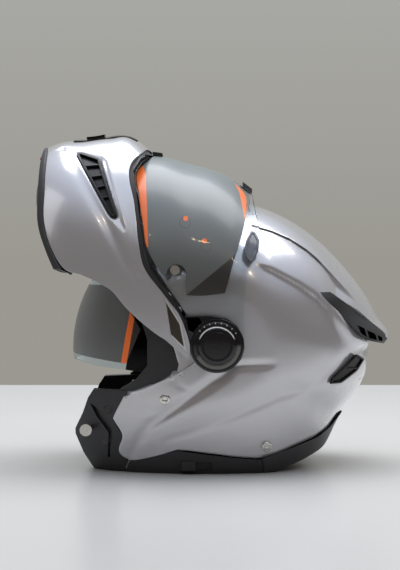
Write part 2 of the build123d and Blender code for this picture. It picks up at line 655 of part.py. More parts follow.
with BuildPart() as chin_frame:
    fan_wall(cover_radius_shares, cover_side, cover_wall + fit_gap, frame_depth, inner_side=arm_face)
    side_cut(frame_edge_shares)
    add(visor_room.part, mode=Mode.SUBTRACT)
    pivot_disc(base_radius, arm_face, arm_face + arm_thickness)
    pivot_disc(boss_radius + pin_gap, 0, reach, mode=Mode.SUBTRACT)
    button_box(button_room, mode=Mode.SUBTRACT)
    hook_pegs()
chin_frame.part.label = "chin_frame"
export_step(chin_frame.part, "parts/chin_frame.step")

with BuildPart() as chin_lip:
    fan_wall(cover_radius_shares, cover_side, -lip_stand, lip_depth)
    side_cut(lip_edge_shares + lip_inner_shares)
    side_cut(cover_edge_shares, grow=fit_gap, mode=Mode.SUBTRACT)
    button_box(button_room, mode=Mode.SUBTRACT)
chin_lip.part.label = "chin_lip"
export_step(chin_lip.part, "parts/chin_lip.step")

# Ribs divide each side vent into open cells that narrow towards the tip
with BuildPart() as side_vents:
    fan_wall(cover_radius_shares, cover_side, 0, cover_wall, span=(100, 141))
    side_cut(side_vent_shares, grow=-fit_gap)
    for low_share, high_share in cell_span_shares:
        side_cut(vent_cell(low_share, high_share), mode=Mode.SUBTRACT)

for side, name in ((-1, "chin_side_vent_left"), (1, "chin_side_vent_right")):
    with BuildPart() as side_vent:
        add(side_vents.part)
        keep_side(side)
    side_vent.part.label = name
    export_step(side_vent.part, f"parts/{name}.step")

with BuildPart() as visor:
    fan_wall(visor_radius_shares, visor_side, 0, visor_wall)
    side_cut(visor_edge_shares, hub=visor_hub_radius)
    pivot_disc(boss_radius + pin_gap, 0, reach, mode=Mode.SUBTRACT)
    pegs(lens_pin_places, lens_pin_radius + slip_gap, -reach / 4, reach / 4, mode=Mode.SUBTRACT, form=visor_surface)
visor.part.label = "visor"
export_step(visor.part, "parts/visor.step")

with BuildPart() as visor_film:
    fan_wall(visor_radius_shares, visor_side, -slip_gap - film_thickness, -slip_gap)
    side_cut(film_edge_shares)
    pegs(lens_pin_places, 2 * lens_pin_radius, -reach / 4, reach / 4, mode=Mode.SUBTRACT, form=visor_surface)
visor_film.part.label = "visor_film"
export_step(visor_film.part, "parts/visor_film.step")

for side, name in ((-1, "arm_cover_left"), (1, "arm_cover_right")):
    with BuildPart() as arm_cover:
        inner_face = visor_side + arm_gap
        with BuildSketch(Plane.XZ.offset(-side * inner_face)) as plate:
            with BuildLine():
                Polyline(place(arm_cover_shares), close=True)
            make_face()
            with Locations((pivot_x, pivot_height)):
                Circle(base_radius)
        extrude(plate.sketch, amount=-side * arm_cover_thickness)
    arm_cover.part.label = name
    export_step(arm_cover.part, f"parts/{name}.step")

for side, name in ((-1, "pivot_cap_left"), (1, "pivot_cap_right")):
    with BuildPart() as pivot_cap:
        rim_face = visor_side + arm_gap + arm_cover_thickness + slip_gap
        pivot_disc(cap_radius, rim_face, rim_face + cap_rim_height)
        pivot_disc(cap_dome_radius, rim_face, rim_face + cap_dome_height)
        cap_top = rim_face + cap_dome_height
        pivot_disc(
            cap_ring_radius, cap_top - cap_ring_depth, cap_top, hole=cap_ring_radius - cap_ring_width, mode=Mode.SUBTRACT
        )
        with Locations((pivot_x, -cap_top, pivot_height), (pivot_x, cap_top, pivot_height)):
            Box(cap_slot_length, 2 * cap_ring_depth, cap_slot_width, mode=Mode.SUBTRACT)
        keep_side(side)
    pivot_cap.part.label = name
    export_step(pivot_cap.part, f"parts/{name}.step")

with BuildPart() as sun_visor:
    with BuildSketch(sun_plane(sun_start)) as section:
        with BuildLine():
            outer = EllipticalCenterArc(
                (sun_pole, 0), sun_radius - sun_pole, sun_side, start_angle=-90, arc_size=180
            )
            inner = EllipticalCenterArc(
                (sun_pole, 0), sun_radius - sun_wall - sun_pole, sun_side - sun_wall, start_angle=-90, arc_size=180
            )
            Line(outer @ 0, inner @ 0)
            Line(outer @ 1, inner @ 1)
        make_face()
    revolve(section.sketch, axis=sun_axis, revolution_arc=-sun_spread)
    side_cut(sun_edge_shares)
    for side in (-1, 1):
        with BuildSketch(Plane.XZ.offset(-side * (sun_side - sun_wall))) as arm:
            with BuildLine():
                Polyline(place(sun_arm_shares), close=True)
            make_face()
            with Locations((pivot_x + sun_pivot_back, pivot_height + sun_pivot_drop)):
                Circle(sun_hub_radius)
                Circle(sun_pin_radius + pin_gap, mode=Mode.SUBTRACT)
        extrude(arm.sketch, amount=-side * sun_wall)
sun_visor.part.label = "sun_visor"
export_step(sun_visor.part, "parts/sun_visor.step")

with BuildPart() as sun_visor_pins:
    sun_disc(sun_pin_radius, sun_side - sun_wall - slip_gap, base_face - shell_wall - slip_gap)
sun_visor_pins.part.label = "sun_visor_pins"
export_step(sun_visor_pins.part, "parts/sun_visor_pins.step")

with BuildPart() as arm_badges:
    fan_wall(cover_radius_shares, cover_side, -slip_gap - badge_height, -slip_gap, span=(125, 205))
    side_cut(badge_shares)

for side, name in ((-1, "arm_badge_left"), (1, "arm_badge_right")):
    with BuildPart() as arm_badge:
        add(arm_badges.part)
        keep_side(side)
    arm_badge.part.label = name
    export_step(arm_badge.part, f"parts/{name}.step")

with BuildPart() as chin_vent_plate:
    fan_wall(cover_radius_shares, cover_side, -slip_gap - vent_plate_height, -slip_gap, span=(100, 141))
    side_cut(vent_plate_shares)
    with Locations((0, 0, pivot_height)):
        Box(4 * reach, 2 * vent_plate_half, 4 * reach, mode=Mode.INTERSECT)
chin_vent_plate.part.label = "chin_vent_plate"
export_step(chin_vent_plate.part, "parts/chin_vent_plate.step")

with BuildPart() as chin_vent_slider:
    slider_foot = vent_plate_height + fit_gap
    fan_wall(cover_radius_shares, cover_side, -slider_foot - vent_slider_height, -slider_foot, span=(100, 141))
    side_cut(vent_slider_shares)
    with Locations((0, 0, pivot_height)):
        Box(4 * reach, 2 * vent_slider_half, 4 * reach, mode=Mode.INTERSECT)
chin_vent_slider.part.label = "chin_vent_slider"
export_step(chin_vent_slider.part, "parts/chin_vent_slider.step")

with BuildPart() as chin_padding:
    padding_outer = frame_depth + fit_gap
    fan_wall(cover_radius_shares, cover_side, padding_outer, padding_outer + padding_thickness)
    side_cut(padding_shares)
    with Locations((0, 0, pivot_height)):
        Box(4 * reach, 2 * padding_half, 4 * reach, mode=Mode.INTERSECT)
    button_box(button_room, mode=Mode.SUBTRACT)
chin_padding.part.label = "chin_padding"
export_step(chin_padding.part, "parts/chin_padding.step")

with BuildPart() as release_button:
    button_box(0)
    fillet(release_button.edges().filter_by(Axis.Y), button_round)
release_button.part.label = "release_button"
export_step(release_button.part, "parts/release_button.step")

for side, name in ((-1, "latch_hook_left"), (1, "latch_hook_right")):
    with BuildPart() as latch_hook:
        with BuildSketch(Plane.XZ.offset(-side * hook_inner)) as hook:
            with BuildLine():
                Polyline(hook_points, close=True)
            make_face()
            with Locations(hook_pivot):
                Circle(hook_width)
                Circle(hook_pin_radius + pin_gap, mode=Mode.SUBTRACT)
        extrude(hook.sketch, amount=-side * hook_thickness)
    latch_hook.part.label = name
    export_step(latch_hook.part, f"parts/{name}.step")

for name, shares, above in (("visor_top_tab", top_tab_shares, 0), ("visor_lower_tab", lower_tab_shares, film_thickness)):
    with BuildPart() as visor_tab:
        foot = fit_gap + above
        fan_wall(visor_radius_shares, visor_side, -foot - tab_height, -foot, span=(50, 131))
        side_cut(shares)
        with Locations((0, 0, pivot_height)):
            Box(4 * reach, 2 * tab_half, 4 * reach, mode=Mode.INTERSECT)
    visor_tab.part.label = name
    export_step(visor_tab.part, f"parts/{name}.step")

with BuildPart() as visor_lens_pins:
    pegs(lens_pin_places, lens_pin_radius, -lens_pin_length, lens_pin_length / 2, form=visor_surface)
visor_lens_pins.part.label = "visor_lens_pins"
export_step(visor_lens_pins.part, "parts/visor_lens_pins.step")

with BuildPart() as sun_visor_film:
    with BuildSketch(sun_plane(sun_start)) as section:
        with BuildLine():
            low, high = slip_gap, slip_gap + film_thickness
            outer = EllipticalCenterArc(
                (sun_pole, 0), sun_radius + high - sun_pole, sun_side + high, start_angle=-90, arc_size=180
            )
            inner = EllipticalCenterArc(
                (sun_pole, 0), sun_radius + low - sun_pole, sun_side + low, start_angle=-90, arc_size=180
            )
            Line(outer @ 0, inner @ 0)
            Line(outer @ 1, inner @ 1)
        make_face()
    revolve(section.sketch, axis=sun_axis, revolution_arc=-sun_spread)
    side_cut(sun_film_shares)
sun_visor_film.part.label = "sun_visor_film"
export_step(sun_visor_film.part, "parts/sun_visor_film.step")

strap_points = [(y * crown_radius, z * crown_radius) for y, z in strap_shares]
tongue_end = strap_points[-1][0] - tongue_reach
for side, name in ((-1, "strap_left"), (1, "strap_right")):
    with BuildPart() as strap:
        with BuildSketch(Plane.YZ.offset(strap_x - strap_width / 2)) as band:
            with BuildLine():
                upper = Polyline([(-side * y, z + strap_thickness / 2) for y, z in strap_points])
                lower = Polyline([(-side * y, z - strap_thickness / 2) for y, z in strap_points])
                Line(upper @ 0, lower @ 0)
                Line(upper @ 1, lower @ 1)
            make_face()
        extrude(band.sketch, amount=strap_width)
        if side > 0:
            with Locations((strap_x, -strap_points[-1][0], 0)):
                Box(2 * strap_width, 2 * tongue_reach, buckle_width, mode=Mode.SUBTRACT)
    strap.part.label = name
    export_step(strap.part, f"parts/{name}.step")

buckle_floor = buckle_floor_share * crown_radius
with BuildPart() as buckle_receiver:
    with Locations((strap_x, 0, buckle_floor)):
        Box(buckle_width, buckle_length, buckle_height, align=(Align.CENTER, Align.CENTER, Align.MIN))
    with Locations((strap_x, buckle_wall, buckle_floor + buckle_wall)):
        Box(
            tongue_width + 2 * swing_gap, buckle_length, tongue_thickness + 2 * swing_gap,
            align=(Align.CENTER, Align.CENTER, Align.MIN), mode=Mode.SUBTRACT
        )
buckle_receiver.part.label = "buckle_receiver"
export_step(buckle_receiver.part, "parts/buckle_receiver.step")

tongue_floor = buckle_floor + buckle_wall + swing_gap
with BuildPart() as buckle_tongue:
    with Locations((strap_x, -tongue_end, tongue_floor)):
        Box(tongue_width, tongue_length, tongue_thickness, align=(Align.CENTER, Align.MAX, Align.MIN))
buckle_tongue.part.label = "buckle_tongue"
export_step(buckle_tongue.part, "parts/buckle_tongue.step")

lever_floor = buckle_floor + buckle_height + fit_gap
with BuildPart() as buckle_lever:
    with Locations((strap_x, 0, lever_floor)):
        Box(tongue_width, lever_length, lever_thickness, align=(Align.CENTER, Align.CENTER, Align.MIN))
    with Locations((strap_x, -lever_length / 2, lever_floor + lever_thickness / 2)):
        Cylinder(lever_thickness / 2, tongue_width, rotation=(0, 90, 0))
buckle_lever.part.label = "buckle_lever"
export_step(buckle_lever.part, "parts/buckle_lever.step")
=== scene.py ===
# %% [markdown]
# # A modular helmet with its chin bar swung up
#
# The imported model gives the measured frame: every body, its joints and its CAD nodes.
# This lesson dresses that frame. The painted shells, the visor and the pads become finer
# surfaces that numpy works out, and each of them rides on a body of the frame, so that it
# moves with the joints. The small hard pieces keep their CAD meshes.

import math

import bmesh
import bpy
import mathutils
import numpy as np
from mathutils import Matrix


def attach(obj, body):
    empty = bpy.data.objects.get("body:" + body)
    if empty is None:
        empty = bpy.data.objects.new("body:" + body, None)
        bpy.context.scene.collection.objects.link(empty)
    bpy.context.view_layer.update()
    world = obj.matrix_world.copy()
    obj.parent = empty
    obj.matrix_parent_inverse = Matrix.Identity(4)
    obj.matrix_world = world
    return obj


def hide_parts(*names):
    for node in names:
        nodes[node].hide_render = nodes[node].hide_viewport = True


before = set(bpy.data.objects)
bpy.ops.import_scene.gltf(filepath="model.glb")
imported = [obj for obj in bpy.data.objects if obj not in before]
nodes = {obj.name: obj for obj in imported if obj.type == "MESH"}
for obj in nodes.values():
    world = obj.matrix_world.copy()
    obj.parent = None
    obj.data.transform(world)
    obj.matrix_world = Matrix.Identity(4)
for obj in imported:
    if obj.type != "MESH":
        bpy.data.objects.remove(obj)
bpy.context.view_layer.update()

# %% [markdown]
# ## Sizes
#
# A helmet is round in every view, so its panels are measured from one place: the pivot
# line, which the chin bar and the visor swing about. Outlines are written as shares of the
# crown radius in the side view: the first number runs backwards along the helmet and the
# second one upwards. All other sizes are in metres.

# %% Sizes that every panel shares
CROWN = 0.125  # radius of the crown above the pivot line
PIVOT_X, PIVOT_Z = -0.0009, 0.1113
POLE = 0.043  # radius of the flat patch round the pivot
SHELL_SIDE, COVER_SIDE, VISOR_SIDE = 0.113, 0.1215, 0.1178  # half widths at the pivot
print("pivot line at x", PIVOT_X, "and z", PIVOT_Z)

# %% [markdown]
# Each table below holds (angle, share) pairs: how far the middle plane of a panel lies from
# the pivot line at that angle. Angles are in degrees, from straight back, turning upwards.

# %% Radius tables
SHELL_ROWS = [
    (-174, 1.15), (-165, 1.22), (-155, 1.31), (-145, 1.36), (-135, 1.36), (-120, 1.33), (-105, 1.29),
    (-90, 1.26), (-75, 1.24), (-64, 1.21), (-53, 1.13), (-42, 1.085), (-31, 1.05), (-22, 1.096), (-15, 1.12),
    (-6, 1.125), (8, 1.11), (18, 1.07), (30, 1.04), (43, 1.015), (56, 1.002), (70, 0.998), (90, 1.012),
    (108, 1.03), (125, 1.042), (140, 1.053), (150, 1.080), (160, 1.115), (170, 1.14), (180, 1.15),
]
SPOILER_ROWS = [
    (-12, 1.13), (-3, 1.21), (0, 1.257), (8, 1.185), (17, 1.13), (28, 1.075), (43, 1.034), (56, 1.018),
    (67, 1.012), (77, 1.008), (86, 1.004),
]
COVER_ROWS = [
    (104, 1.36), (108.7, 1.427), (110.4, 1.508), (113.1, 1.598), (117.7, 1.655), (123.2, 1.725),
    (128.2, 1.815), (132, 1.85), (140, 1.86), (147, 1.82), (155, 1.74), (165, 1.60), (180, 1.44),
    (200, 1.28), (215, 1.20),
]
VISOR_ROWS = [
    (0, 0.86), (30, 0.95), (50, 1.012), (62, 1.053), (76, 1.090), (83, 1.158), (90, 1.219), (99, 1.29),
    (107, 1.386), (113, 1.44), (120, 1.49), (130, 1.52), (145, 1.52), (165, 1.46), (190, 1.36),
]
print("angles in the tables:", len(SHELL_ROWS), len(SPOILER_ROWS), len(COVER_ROWS), len(VISOR_ROWS))

# %% [markdown]
# ## One rounded form for every panel
#
# Straight lines between the angles of a table would show as flats in the paint, so a smooth
# curve runs through them.

# %% A smooth curve through points
def smooth(x, xs, ys):
    """A smooth curve through the points (xs, ys), read at x. It is made of cubic pieces whose slopes
    agree where they join."""
    xs, ys = np.asarray(xs, float), np.asarray(ys, float)
    slope = np.gradient(ys, xs)
    i = np.clip(np.searchsorted(xs, x) - 1, 0, len(xs) - 2)
    h = xs[i + 1] - xs[i]
    t = np.clip((x - xs[i]) / h, 0, 1)
    start, end = 2 * t**3 - 3 * t**2 + 1, 3 * t**2 - 2 * t**3
    bend = (t**3 - 2 * t**2 + t) * slope[i] + (t**3 - t**2) * slope[i + 1]
    return start * ys[i] + end * ys[i + 1] + h * bend


print("half way between 0 and 1:", float(smooth(0.5, [0, 1], [0, 1])))

# %% [markdown]
# In each plane through the pivot line the section of the helmet is half an ellipse, with a
# flat round patch at the pivot. A chart spreads half of that form on a disc: its centre is
# the pivot and its rim is the middle plane. A sphere's usual grid would pinch at a pole in
# the middle of the paint. The disc has no such pole, so panels are drawn on the disc and
# then lifted.

# %% The form and its chart
SHARE = 0.24  # the part of the chart's radius that the flat patch takes


class Form:
    """A rounded form about the pivot line. Radius is a smooth function of the angle, and the half
    width at radius r is side * sqrt(1 - ((r - pole) / (radius - pole)) ** 2)."""

    def __init__(self, rows, side):
        self.angles, self.shares = zip(*rows)
        self.side = side

    def radius(self, angle):
        """Distance from the pivot line to the middle plane, for angles in degrees."""
        low = self.angles[0]
        wrapped = (angle - low) % 360 + low
        wrapped = np.where(wrapped > (low + self.angles[-1]) / 2 + 180, low, wrapped)
        return smooth(np.clip(wrapped, low, self.angles[-1]), self.angles, self.shares) * CROWN

    def chart(self, points, out=0.0):
        """Side view shares to chart points, on the form or on one that lies out of it."""
        p = np.asarray(points, float) * CROWN
        r, turn = np.hypot(p[..., 0], p[..., 1]), np.arctan2(p[..., 1], p[..., 0])
        reach = np.clip((r - POLE) / (self.radius(np.degrees(turn)) + out - POLE), -1, 1)
        beyond = SHARE + (1 - SHARE) * np.arcsin(np.maximum(reach, 0)) * 2 / np.pi
        rho = np.where(r < POLE, r / POLE * SHARE, beyond)
        return np.stack([rho * np.cos(turn), rho * np.sin(turn)], -1)

    def lift(self, chart, out=0.0):
        """Chart points to points in space on the right side, moved out of the surface by out."""
        rho, turn = np.hypot(chart[..., 0], chart[..., 1]), np.arctan2(chart[..., 1], chart[..., 0])
        lean = np.clip((rho - SHARE) / (1 - SHARE), 0, 1) * np.pi / 2
        r = POLE + (self.radius(np.degrees(turn)) + out - POLE) * np.sin(lean)
        r = np.where(rho < SHARE, rho / SHARE * POLE, r)
        y = (self.side + out) * np.cos(lean)
        return np.stack([PIVOT_X + r * np.cos(turn), y, PIVOT_Z + r * np.sin(turn)], -1)

    def trace(self, count, *runs, out=0.0):
        """Chart points along smooth runs of side view shares. A run starts where the last one ended, so
        the corner between them stays sharp."""
        runs = [self.chart(run, out) for run in runs]
        lengths = [np.r_[0, np.cumsum(np.hypot(*np.diff(run, axis=0).T))] for run in runs]
        ends = np.cumsum([0] + [length[-1] for length in lengths])
        marks = np.round(ends / ends[-1] * (count - 1)).astype(int)
        line = np.zeros((count, 2))
        for run, length, a, b in zip(runs, lengths, marks, marks[1:]):
            s = np.linspace(0, length[-1], b - a + 1)
            line[a : b + 1, 0] = smooth(s, length, run[:, 0])
            line[a : b + 1, 1] = smooth(s, length, run[:, 1])
        return line


shell = Form(SHELL_ROWS, SHELL_SIDE)
print("crown radius on the shell:", float(shell.radius(np.array(90.0))))

# %% [markdown]
# A panel is drawn on the chart as a patch between four curves, as a tailor's panel is cut
# between four seams. Such a patch meets its curves exactly, so the edge of the paint lies
# where it was measured. Two of the curves may be parts of the rim, where the panel meets
# its mirror image.

# %% Patches between four curves
def to_rim(line, place):
    """Pushes one point of a chart line out to the rim and returns its angle in degrees."""
    line[place] /= np.hypot(*line[place])
    return math.degrees(math.atan2(line[place, 1], line[place, 0]))


def rim(count, start, end):
    """Chart points along the middle plane from one angle in degrees to another."""
    a = np.radians(np.linspace(start, end, count))
    return np.stack([np.cos(a), np.sin(a)], -1)


def coons(near, far, start, end):
    """Fills the patch between four curves: the blend of near and far, plus the blend of start and end,
    less the blend of the four corners."""
    s = np.linspace(0, 1, len(near))[:, None, None]
    t = np.linspace(0, 1, len(start))[None, :, None]
    along = (1 - t) * near[:, None] + t * far[:, None]
    across = (1 - s) * start[None] + s * end[None]
    first = (1 - t) * near[0] + t * far[0]
    last = (1 - t) * near[-1] + t * far[-1]
    return along + across - (1 - s) * first - s * last


print("a quarter of the rim:", rim(3, 0, 90).round(2).tolist())

# %% [markdown]
# Creases and recesses are lines and outlines in the side view. To shape one, the surface
# needs to know how far each of its points lies from that line.

# %% Distances in the side view
def to_shares(points):
    """Points in space to side view shares."""
    return np.stack([(points[..., 0] - PIVOT_X) / CROWN, (points[..., 2] - PIVOT_Z) / CROWN], -1)


def line_distance(points, line):
    """Signed distance in metres from side view points to a line through several points. It is
    positive to the left of the line's run."""
    best = np.full(points.shape[:-1], 9.0)
    signed = np.zeros(points.shape[:-1])
    for a, b in zip(np.array(line[:-1]), np.array(line[1:])):
        run = b - a
        t = np.clip(((points - a) @ run) / (run @ run), 0, 1)
        gap = points - a - t[..., None] * run
        d = np.hypot(gap[..., 0], gap[..., 1])
        sign = np.sign(run[0] * gap[..., 1] - run[1] * gap[..., 0] + 1e-12)
        nearer = d < best
        best = np.where(nearer, d, best)
        signed = np.where(nearer, sign * d, signed)
    return signed * CROWN


def inside_distance(points, outline):
    """Distance in metres to a closed outline in the side view, positive inside. A point is inside when
    a line to its right crosses the outline an odd number of times."""
    ring = list(outline) + [outline[0]]
    odd = np.zeros(points.shape[:-1], bool)
    for a, b in zip(ring[:-1], ring[1:]):
        crosses = (a[1] > points[..., 1]) != (b[1] > points[..., 1])
        meets = a[0] + (points[..., 1] - a[1]) * (b[0] - a[0]) / (b[1] - a[1] + 1e-12)
        odd ^= crosses & (points[..., 0] < meets)
    return np.abs(line_distance(points, ring)) * np.where(odd, 1, -1)


print("distance from the pivot to a line one crown radius above it:")
print(float(line_distance(np.zeros(2), [(-1, 1), (1, 1)])))

# %% [markdown]
# Three shapes make all the relief on the paint: a ramp from one level to another, a rounded
# hollow along a line, and the fading side of a step.

# %% Relief
def ramp(x, width):
    """Rises smoothly from 0 to 1 over a width centred on zero."""
    t = np.clip(x / width + 0.5, 0, 1)
    return t * t * (3 - 2 * t)


def hollow(distance, width):
    """1 on a line and fading to both sides: exp(-(distance / width) ** 2)."""
    return np.exp(-((distance / width) ** 2))


def fading(distance, width):
    """1 up to a line and fading past it: a hollow of the distance, where that is positive."""
    return hollow(np.maximum(distance, 0), width)


print("a ramp at its middle:", float(ramp(np.array(0.0), 1.0)))

# %% [markdown]
# ## Making objects
#
# A grid of points becomes a mesh in one step. Half a panel is mirrored across the middle
# plane so that both halves share the seam's points, and no line shows down the middle.

# %% From grids to objects
def mesh_object(name, points, faces):
    """An object from an array of points and a list of faces, smooth shaded."""
    mesh = bpy.data.meshes.new(name)
    mesh.from_pydata(points.reshape(-1, 3).tolist(), [], faces)
    mesh.validate()
    mesh.shade_smooth()
    obj = bpy.data.objects.new(name, mesh)
    bpy.context.scene.collection.objects.link(obj)
    return obj


def grid_faces(rows, cols, wrap_rows=False, wrap_cols=False, first=0):
    """The four-sided faces of a grid of points, as lists of indexes that count from first. A grid
    that wraps has its last row or column meet its first one."""
    i = np.arange(rows * cols).reshape(rows, cols) + first
    if wrap_rows:
        i = np.concatenate([i, i[:1]], 0)
    if wrap_cols:
        i = np.concatenate([i, i[:, :1]], 1)
    quads = np.stack([i[:-1, :-1], i[1:, :-1], i[1:, 1:], i[:-1, 1:]], -1)
    return quads.reshape(-1, 4).tolist()


def mirrored(grid):
    """The same grid on the other side of the helmet."""
    return grid * np.array([1, -1, 1])


def mirror_join(grid, axis):
    """A half grid whose last row or column lies on the middle plane, joined to its mirror image."""
    other = mirrored(np.flip(grid, axis))
    other = np.delete(other, 0, axis)
    return np.concatenate([grid, other], axis)


print("faces of a grid of 3 by 3 points:", len(grid_faces(3, 3)))

# %% [markdown]
# Moulded panels have a wall, which shows at every cut edge. The Solidify modifier grows it
# inwards from the painted side, and a small bevel rounds the cut edges as a mould does.

# %% Panels with a wall
EDGE_ANGLE = math.radians(50)


def panel(name, grid, wall, soft=0.0006, flip=False):
    """A thin panel from a grid of points: a wall grows inwards and its edges are rounded. With flip
    the faces of the grid are turned over first, so that they point outwards."""
    obj = mesh_object(name, grid, grid_faces(*grid.shape[:2]))
    if flip:
        obj.data.flip_normals()
    thick = obj.modifiers.new("wall", "SOLIDIFY")
    thick.thickness, thick.offset = wall, -1
    edge = obj.modifiers.new("edge", "BEVEL")
    edge.width, edge.segments, edge.limit_method, edge.angle_limit = soft, 2, "ANGLE", EDGE_ANGLE
    return obj


print("cut edges sharper than", round(math.degrees(EDGE_ANGLE)), "degrees are rounded")

# %% [markdown]
# Bars and frames are closed profiles that run along a path. Small pieces are often several
# closed surfaces in one object: points that meet are merged, and faces are turned outwards.

# %% Closed pieces
def bar(name, grid):
    """A closed bar from a grid whose rows are its profiles along a path. Both ends are capped."""
    rows, cols = grid.shape[:2]
    faces = grid_faces(rows, cols, wrap_cols=True)
    faces.append(list(range(cols))[::-1])
    faces.append(list(range((rows - 1) * cols, rows * cols)))
    return mesh_object(name, grid, faces)


def welded(name, *islands):
    """One object from several closed surfaces. Each of them is (grid, rows wrap, columns wrap)."""
    points, faces, count = [], [], 0
    for grid, wrap_rows, wrap_cols in islands:
        rows, cols = grid.shape[:2]
        faces += grid_faces(rows, cols, wrap_rows, wrap_cols, count)
        points.append(grid.reshape(-1, 3))
        count += rows * cols
    obj = mesh_object(name, np.concatenate(points), faces)
    work = bmesh.new()
    work.from_mesh(obj.data)
    bmesh.ops.remove_doubles(work, verts=work.verts, dist=0.00001)
    bmesh.ops.dissolve_degenerate(work, edges=work.edges, dist=0.000001)
    bmesh.ops.recalc_face_normals(work, faces=work.faces)
    work.to_mesh(obj.data)
    work.free()
    obj.data.shade_smooth()
    return obj


def crisp(obj, angle=34):
    """Keeps edges sharper than this angle in degrees crisp."""
    split = obj.modifiers.new("crisp", "EDGE_SPLIT")
    split.split_angle = math.radians(angle)
    return obj


def slab(top, bottom):
    """A closed surface from two grids of the same size: their rims are joined by a skirt."""
    skirt = []
    for grid in (top, bottom):
        skirt.append(np.concatenate([grid[0], grid[1:, -1], grid[-1, -2::-1], grid[-2:0:-1, 0]]))
    return [(top, False, False), (bottom, False, False), (np.stack(skirt, 1), True, False)]


print("bars, welded pieces and slabs are ready")

# %% [markdown]
# Screws, rivets and caps are turned on a lathe, and here too: a profile is swept round an
# axis. On the shell that axis is the way out of its surface.

# %% Turned pieces
def turned(centre, axis, profile, steps=48):
    """A turned surface about an axis through a centre: profile points are (radius, height along it)."""
    axis = np.array(axis) / np.linalg.norm(axis)
    side = np.cross(axis, [0, 0, 1.0] if abs(axis[2]) < 0.9 else [1.0, 0, 0])
    side /= np.linalg.norm(side)
    a = np.linspace(0, 2 * np.pi, steps, endpoint=False)[None, :, None]
    p = np.asarray(profile, float)
    ring = np.cos(a) * side + np.sin(a) * np.cross(axis, side)
    return np.array(centre) + p[:, None, :1] * ring + p[:, None, 1:] * axis


def outward(form, share):
    """A point of the form at a side view share, and the direction that points out of the form there."""
    chart = form.chart(np.array([share]))
    return form.lift(chart)[0], (form.lift(chart, 0.001) - form.lift(chart))[0] * 1000


print("the shell beside the pivot:", outward(shell, (0.5, 0.0))[0].round(3).tolist())

# %% [markdown]
# Frames round a vent, plates and ribs all follow the helmet's form. Each is drawn in the
# side view, and lifted at its own distance out of the form.

# %% Frames, plates and ribs on a form
def soft_profile(width, top, bottom, corner=0.25, count=6):
    """A rounded box profile from share 0 to 1 across, its top and bottom at these distances out."""
    a = np.linspace(0, np.pi / 2, count)
    tall = min(corner * width, (top - bottom) / 2)
    wide = tall / width
    corners = ((1 - wide, top - tall), (wide, top - tall), (wide, bottom + tall), (1 - wide, bottom + tall))
    points = []
    for quarter, (cx, cy) in enumerate(corners):
        turn = a + quarter * np.pi / 2
        points += list(zip(cx + wide * np.cos(turn), cy + tall * np.sin(turn)))
    return points


def strip(form, near, far, profile):
    """A profile carried between two chart curves. Each profile point is (share of the way, distance out)."""
    return np.stack([form.lift(near + (far - near) * across, out) for across, out in profile], 1)


def closed_path(outline, count, soften=2):
    """Even points along a closed outline, its corners slightly rounded by averaging neighbours."""
    ring = np.array(list(outline) + [outline[0]])
    length = np.r_[0, np.cumsum(np.hypot(*np.diff(ring, axis=0).T))]
    s = np.linspace(0, length[-1], count, endpoint=False)
    path = np.stack([np.interp(s, length, ring[:, i]) for i in (0, 1)], -1)
    for _ in range(soften):
        path = (np.roll(path, 1, 0) + 2 * path + np.roll(path, -1, 0)) / 4
    return path


def inset_path(path, inwards):
    """A closed path moved inwards by a distance in metres, square to its run."""
    run = np.roll(path, -1, 0) - np.roll(path, 1, 0)
    run /= np.hypot(run[:, :1], run[:, 1:])
    area = np.sum(path[:, 0] * np.roll(path[:, 1], -1) - path[:, 1] * np.roll(path[:, 0], -1))
    return path + np.stack([-run[:, 1], run[:, 0]], -1) * inwards / CROWN * np.sign(area)


def ring_bar(form, outline, width, top, bottom, count=140):
    """A frame that follows a closed outline on a form, with a rounded section of this width."""
    path = closed_path(outline, count)
    rows = []
    for across, out in soft_profile(width, top, bottom):
        rows.append(form.lift(form.chart(inset_path(path, across * width)), out))
    return np.stack(rows, 1)


def plate(form, outline, inwards, top, bottom, count=140):
    """A thin plate inside a closed outline on a form: rings that shrink to the middle, above and below."""
    path = inset_path(closed_path(outline, count), inwards)
    middle = path.mean(0)
    shrink = [0.0, 0.25, 0.5, 0.75, 1.0]
    layers = [form.lift(form.chart(middle + (path - middle) * s), top) for s in shrink]
    layers += [form.lift(form.chart(middle + (path - middle) * s), bottom) for s in shrink[::-1]]
    return np.stack(layers, 1)


def rib(form, start, end, width, top, bottom, count=14):
    """A straight rib between two side view points, with a rounded section and closed ends."""
    t = np.linspace(0, 1, count)[:, None]
    path = np.array(start) + (np.array(end) - np.array(start)) * t
    run = np.array(end) - np.array(start)
    across = np.array([-run[1], run[0]]) / np.hypot(*run) * width / CROWN
    rows = []
    for a, out in soft_profile(width, top, bottom, count=4):
        rows.append(form.lift(form.chart(path + across * (a - 0.5)), out))
    grid = np.stack(rows, 1)
    first, last = grid[:1].mean(1, keepdims=True), grid[-1:].mean(1, keepdims=True)
    ends = [np.repeat(end, grid.shape[1], 1) for end in (first, last)]
    return np.concatenate([ends[0], grid, ends[1]], 0)


print("points round a soft profile:", len(soft_profile(0.002, 0.001, -0.001)))

# %% [markdown]
# ## Materials
#
# Colours change over a piece by maths on its place. A small class wraps one socket of a node
# tree, so that this maths reads like ordinary maths instead of a list of nodes and links.

